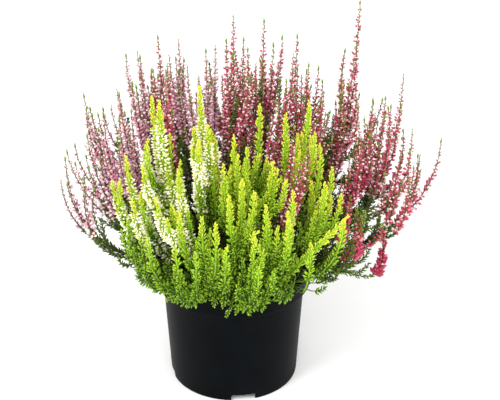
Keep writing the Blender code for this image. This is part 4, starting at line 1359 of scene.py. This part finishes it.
# The pot's profile goes out under the base, up the outside, over the rim and down the inside. Each corner is
# rounded between two places near it, in millimetres.
def potProfile():
    s = potShape
    foot = s["height"] - s["bandHeight"]
    body, band = s["bodyTopRadius"], s["bodyTopRadius"] + s["bandStep"]
    wall, pan, base, rim, top = s["wall"], s["panRadius"], s["baseRadius"], s["rimRadius"], s["height"]
    channel = s["channelHeight"]
    taper = (body - base) / foot
    floor = channel + wall
    up = foot - 0.6
    profile = [(0, 0)]
    for corner in (
        ((pan - 1, 0), (pan, 0), (pan + 0.4, 1), 4),
        ((pan + 2.6, channel - 1), (pan + 3, channel), (pan + 4, channel), 4),
        ((base - 4.2, channel), (base - 3.2, channel), (base - 3.1, channel - 1), 4),
        ((base - 2.5, 0.6), (base - 2.4, 0), (base - 1.8, 0), 4),
        ((base - 1.2, 0), (base - 0.1, 0), (base + 0.02, 1.6), 6),
    ):
        profile += rounded(*corner)
    profile += [(base + taper * h, h) for h in np.linspace(4, foot - 1.5, 16)]
    profile += rounded((base + taper * up, up), (body, foot), (body + 0.7, foot + 0.05), 4)
    profile += rounded((band - 1.2, foot + 0.35), (band, foot + 0.45), (band + 0.1, foot + 1.6), 6)
    wide, tall = rim - 0.5 - band, top - 3.2 - foot - 1.6
    profile += [(band + 0.1 + wide * h, foot + 1.6 + tall * h) for h in np.linspace(0.2, 1, 5)]
    for corner in (
        ((rim - 0.35, top - 2.4), (rim, top - 2.2), (rim, top - 1.4), 4),
        ((rim, top - 0.6), (rim, top), (rim - 0.6, top), 5),
        ((rim - wall + 0.5, top), (rim - wall, top), (rim - wall - 0.05, top - 0.7), 4),
        ((band - wall + 0.05, foot + 2.6), (band - wall, foot + 1.8), (band - wall - 0.8, foot + 1.7), 4),
        ((body - wall + 0.6, foot + 1.35), (body - wall, foot + 1.3), (body - wall - 0.05, foot), 4),
    ):
        profile += rounded(*corner)
    return profile + [(base + taper * floor - wall, floor), (pan + 2.1, floor), (pan - 0.9, wall), (0, wall)]


def makePot():
    s = potShape
    pot = turnedSurface("nursery_pot", potProfile(), s["segments"], "plastic")
    cutters = []
    for k in range(s["notchCount"]):
        cutters.append(notchCutter(f"notch_cutter_{k}", s["notchTurn"] + 2 * math.pi * k / s["notchCount"]))
    for k in range(s["drainCount"]):
        turn = 2 * math.pi * (k + 0.5) / s["drainCount"]
        x, y = s["drainRing"] * math.cos(turn), s["drainRing"] * math.sin(turn)
        cutters.append(drainCutter(f"drain_cutter_{k}", x, y))
    cutAway(pot, cutters)
    pot.data.shade_smooth()
    pot.data.set_sharp_from_angle(angle=math.radians(40))
    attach(pot, "root")
    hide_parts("pot")


# A straight-sided solid: an outline of (a, b) points, drawn from one level to another, with a, b and the level
# laid along three given directions.
def drawnSolid(name, outline, low, high, directions):
    outline = np.array(outline, float)
    count = len(outline)
    flat = np.concatenate([np.c_[outline, np.full(count, low)], np.c_[outline, np.full(count, high)]])
    points = flat @ np.array(directions, float)
    faces = [list(range(count)), list(range(2 * count - 1, count - 1, -1))]
    faces += [[k, count + k, count + (k + 1) % count, (k + 1) % count] for k in range(count)]
    mesh = bpy.data.meshes.new(name)
    mesh.from_pydata((points * mm).tolist(), [], faces)
    outwardFaces(mesh)
    return placed(name, mesh)


# A foot notch, rounded at its top, cut through the wall at the base.
def notchCutter(name, turn):
    s = potShape
    half, tall, corner = s["notchWidth"] / 2, s["notchHeight"], 2.0
    arc = rounded((half, tall - corner), (half, tall), (half - corner, tall))
    outline = [(-half, -1), (half, -1)] + arc + [(-a, b) for a, b in reversed(arc)]
    across = (-math.sin(turn), math.cos(turn), 0)
    out = (math.cos(turn), math.sin(turn), 0)
    return drawnSolid(name, outline, s["baseRadius"] - 8, s["baseRadius"] + 4, (across, (0, 0, 1), out))


def drainCutter(name, x, y):
    s = potShape
    turns = np.linspace(0, 2 * math.pi, 28, endpoint=False)
    outline = np.c_[x + s["drainRadius"] * np.cos(turns), y + s["drainRadius"] * np.sin(turns)]
    return drawnSolid(name, outline, s["channelHeight"] - 2, s["channelHeight"] + s["wall"] + 2, np.eye(3))


def cutAway(target, cutters):
    group = bpy.data.collections.new("cutters")
    for cutter in cutters:
        group.objects.link(cutter)
    change = target.modifiers.new("cut", "BOOLEAN")
    change.operation = "DIFFERENCE"
    change.operand_type = "COLLECTION"
    change.collection = group
    change.solver = "EXACT"
    graph = bpy.context.evaluated_depsgraph_get()
    finished = bpy.data.meshes.new_from_object(target.evaluated_get(graph))
    target.modifiers.clear()
    target.data = finished
    for cutter in cutters:
        bpy.data.objects.remove(cutter)
    bpy.data.collections.remove(group)


makePot()
print("pot turned")


# The soil's lumps: sines at odd angles, so many to each wavelength in millimetres. Crumbs lie loose on it.
soilLook = {
    "wavelengths": (23.0, 13.0, 7.1, 4.3, 2.7), "sines": 4, "steep": 0.6, "calmer": 14, "crownRadius": 61,
    "crumbRing": 59, "crumbSize": (0.5, 1.7), "crumbSink": 0.2, "lumpSeed": 3, "crumbSeed": 8,
    "calmOver": 4, "calmest": 0.25, "squash": (0.6, 1.2), "rough": (0.8, 1.2),
}


# The height of the lumps at a place: the sum of the sines.
def lumps(x, y):
    rng = np.random.default_rng(soilLook["lumpSeed"])
    total = np.zeros_like(x)
    for wavelength in soilLook["wavelengths"]:
        for _ in range(soilLook["sines"]):
            turn, phase = rng.uniform(0, 2 * math.pi, 2)
            way = x * math.cos(turn) + y * math.sin(turn)
            total += wavelength ** soilLook["steep"] * np.sin(2 * math.pi * way / wavelength + phase)
    return total / soilLook["calmer"]


# The soil's crown: highest in the middle, and lower by the square of the way out.
def soilHeight(x, y):
    out = np.clip(np.hypot(x, y) / soilLook["crownRadius"], 0, 1)
    return soilShape["edge"] + (soilShape["crown"] - soilShape["edge"]) * (1 - out**2)


def makeSoil():
    s, p = soilShape, potShape
    foot = p["height"] - p["bandHeight"]
    taper = (p["bodyTopRadius"] - p["baseRadius"]) / foot
    gap = p["wall"] + s["clearance"]
    floor = p["channelHeight"] + gap
    low = p["baseRadius"] + taper * floor - gap - 0.1
    high = p["baseRadius"] + taper * s["edge"] - gap
    profile = [(0, gap), (p["panRadius"] - 1.2, gap), (p["panRadius"] + 1.8, floor), (low, floor)]
    profile.append((high, s["edge"] - 2))
    profile += [(r, soilHeight(r, 0)) for r in np.linspace(1, 0, s["rings"]) * (high - 0.3)]

    # The lumps lie on the top alone, and are calmer at the wall.
    def lift(x, y, z):
        calm = np.clip((high - np.hypot(x, y)) / soilLook["calmOver"], soilLook["calmest"], 1)
        return np.where(z > s["edge"] - 1, z + s["lump"] * calm * lumps(x, y), z)

    soil = turnedSurface("peat_surface", profile, s["segments"], "peat", lift)
    soil.data.shade_smooth()
    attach(soil, "root")
    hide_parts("soil")


# Loose crumbs on the soil: rough little balls of twenty faces each.
def makeCrumbs():
    ball = bmesh.new()
    bmesh.ops.create_icosphere(ball, subdivisions=1, radius=1.0)
    shape = np.array([v.co for v in ball.verts])
    faces = np.array([[v.index for v in f.verts] for f in ball.faces])
    ball.free()
    rng = np.random.default_rng(soilLook["crumbSeed"])
    count = soilShape["crumbs"]
    turn = rng.uniform(0, 2 * math.pi, count)
    out = soilLook["crumbRing"] * np.sqrt(rng.random(count))
    x, y = out * np.cos(turn), out * np.sin(turn)
    size = rng.uniform(*soilLook["crumbSize"], count)
    z = soilHeight(x, y) + soilShape["lump"] * lumps(x, y) + soilLook["crumbSink"] * size
    squash = rng.uniform(*soilLook["squash"], (count, 1, 3))
    squash = squash * rng.uniform(*soilLook["rough"], (count, len(shape), 1))
    points = np.stack([x, y, z], 1)[:, None] + shape[None] * squash * size[:, None, None]
    faces = faces[None] + (np.arange(count) * len(shape))[:, None, None]
    heap = newHeap()
    heapUp(heap, points, faces, np.zeros((count, len(shape), 3)), "peat")
    pieceFromHeap("peat_crumbs", heap, [], smooth=False)


makeSoil()
makeCrumbs()
print("soil filled in")


# The studio: a pale floor and a bright sky, with soft lights, each a place, a size and a power in watts.
studio = {
    "floor": (0.955, 0.955, 0.95), "shade": 0.985, "half": 6.0, "sky": 1.0, "aim": (0, 0, 0.15),
    "lights": {
        "key_light": ((-1.3, -1.5, 1.9), 0.9, 34.0),
        "fill_light": ((1.6, -0.9, 1.1), 1.2, 10.0),
        "front_light": ((0.1, -1.9, 1.5), 1.2, 20.0),
    },
}
cameraLook = {"place": (0.0146, -1.890, 1.293), "down": 30.6, "lens": 180, "sensor": 36}


def softLight(name, place, size, power):
    light = bpy.data.lights.new(name, "AREA")
    light.size = size
    light.energy = power
    made = placed(name, light)
    made.location = place
    x, y, z = np.array(studio["aim"]) - np.array(place)
    made.rotation_euler = (math.pi / 2 + math.atan2(z, math.hypot(x, y)), 0, math.atan2(y, x) - math.pi / 2)


def makeStudio():
    mesh = bpy.data.meshes.new("studio_floor")
    half = studio["half"]
    corners = [(-half, -half, 0), (half, -half, 0), (half, half, 0), (-half, half, 0)]
    mesh.from_pydata(corners, [], [(0, 1, 2, 3)])
    made, tree, shader = newMaterial("pale_floor", Roughness=0.9)
    low = tuple(studio["shade"] * c for c in studio["floor"])
    shade = objectNoise(tree, 3.0).ramp(0.3, 0.7)
    link(tree, mixed(tree, shade, low, studio["floor"]), shader, "Base Color")
    mesh.materials.append(made)
    floor = placed("studio_floor", mesh)
    world = bpy.data.worlds.new("studio_sky")
    world.use_nodes = True
    background = world.node_tree.nodes["Background"]
    background.inputs[0].default_value = (1, 1, 1, 1)
    background.inputs[1].default_value = studio["sky"]
    bpy.context.scene.world = world
    for name, (place, size, power) in studio["lights"].items():
        softLight(name, place, size, power)


def makeCamera():
    lens = bpy.data.cameras.new("camera")
    lens.sensor_width = cameraLook["sensor"]
    lens.lens = cameraLook["lens"]
    lens.clip_end = 20
    camera = placed("camera", lens)
    camera.location = cameraLook["place"]
    camera.rotation_euler = (math.radians(90 - cameraLook["down"]), 0, 0)
    bpy.context.scene.camera = camera
    bpy.context.scene.view_settings.view_transform = "Standard"


makeStudio()
makeCamera()
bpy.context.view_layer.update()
total = sum(len(piece.data.polygons) for piece in bpy.data.objects if piece.type == "MESH")
print("faces in all", total)
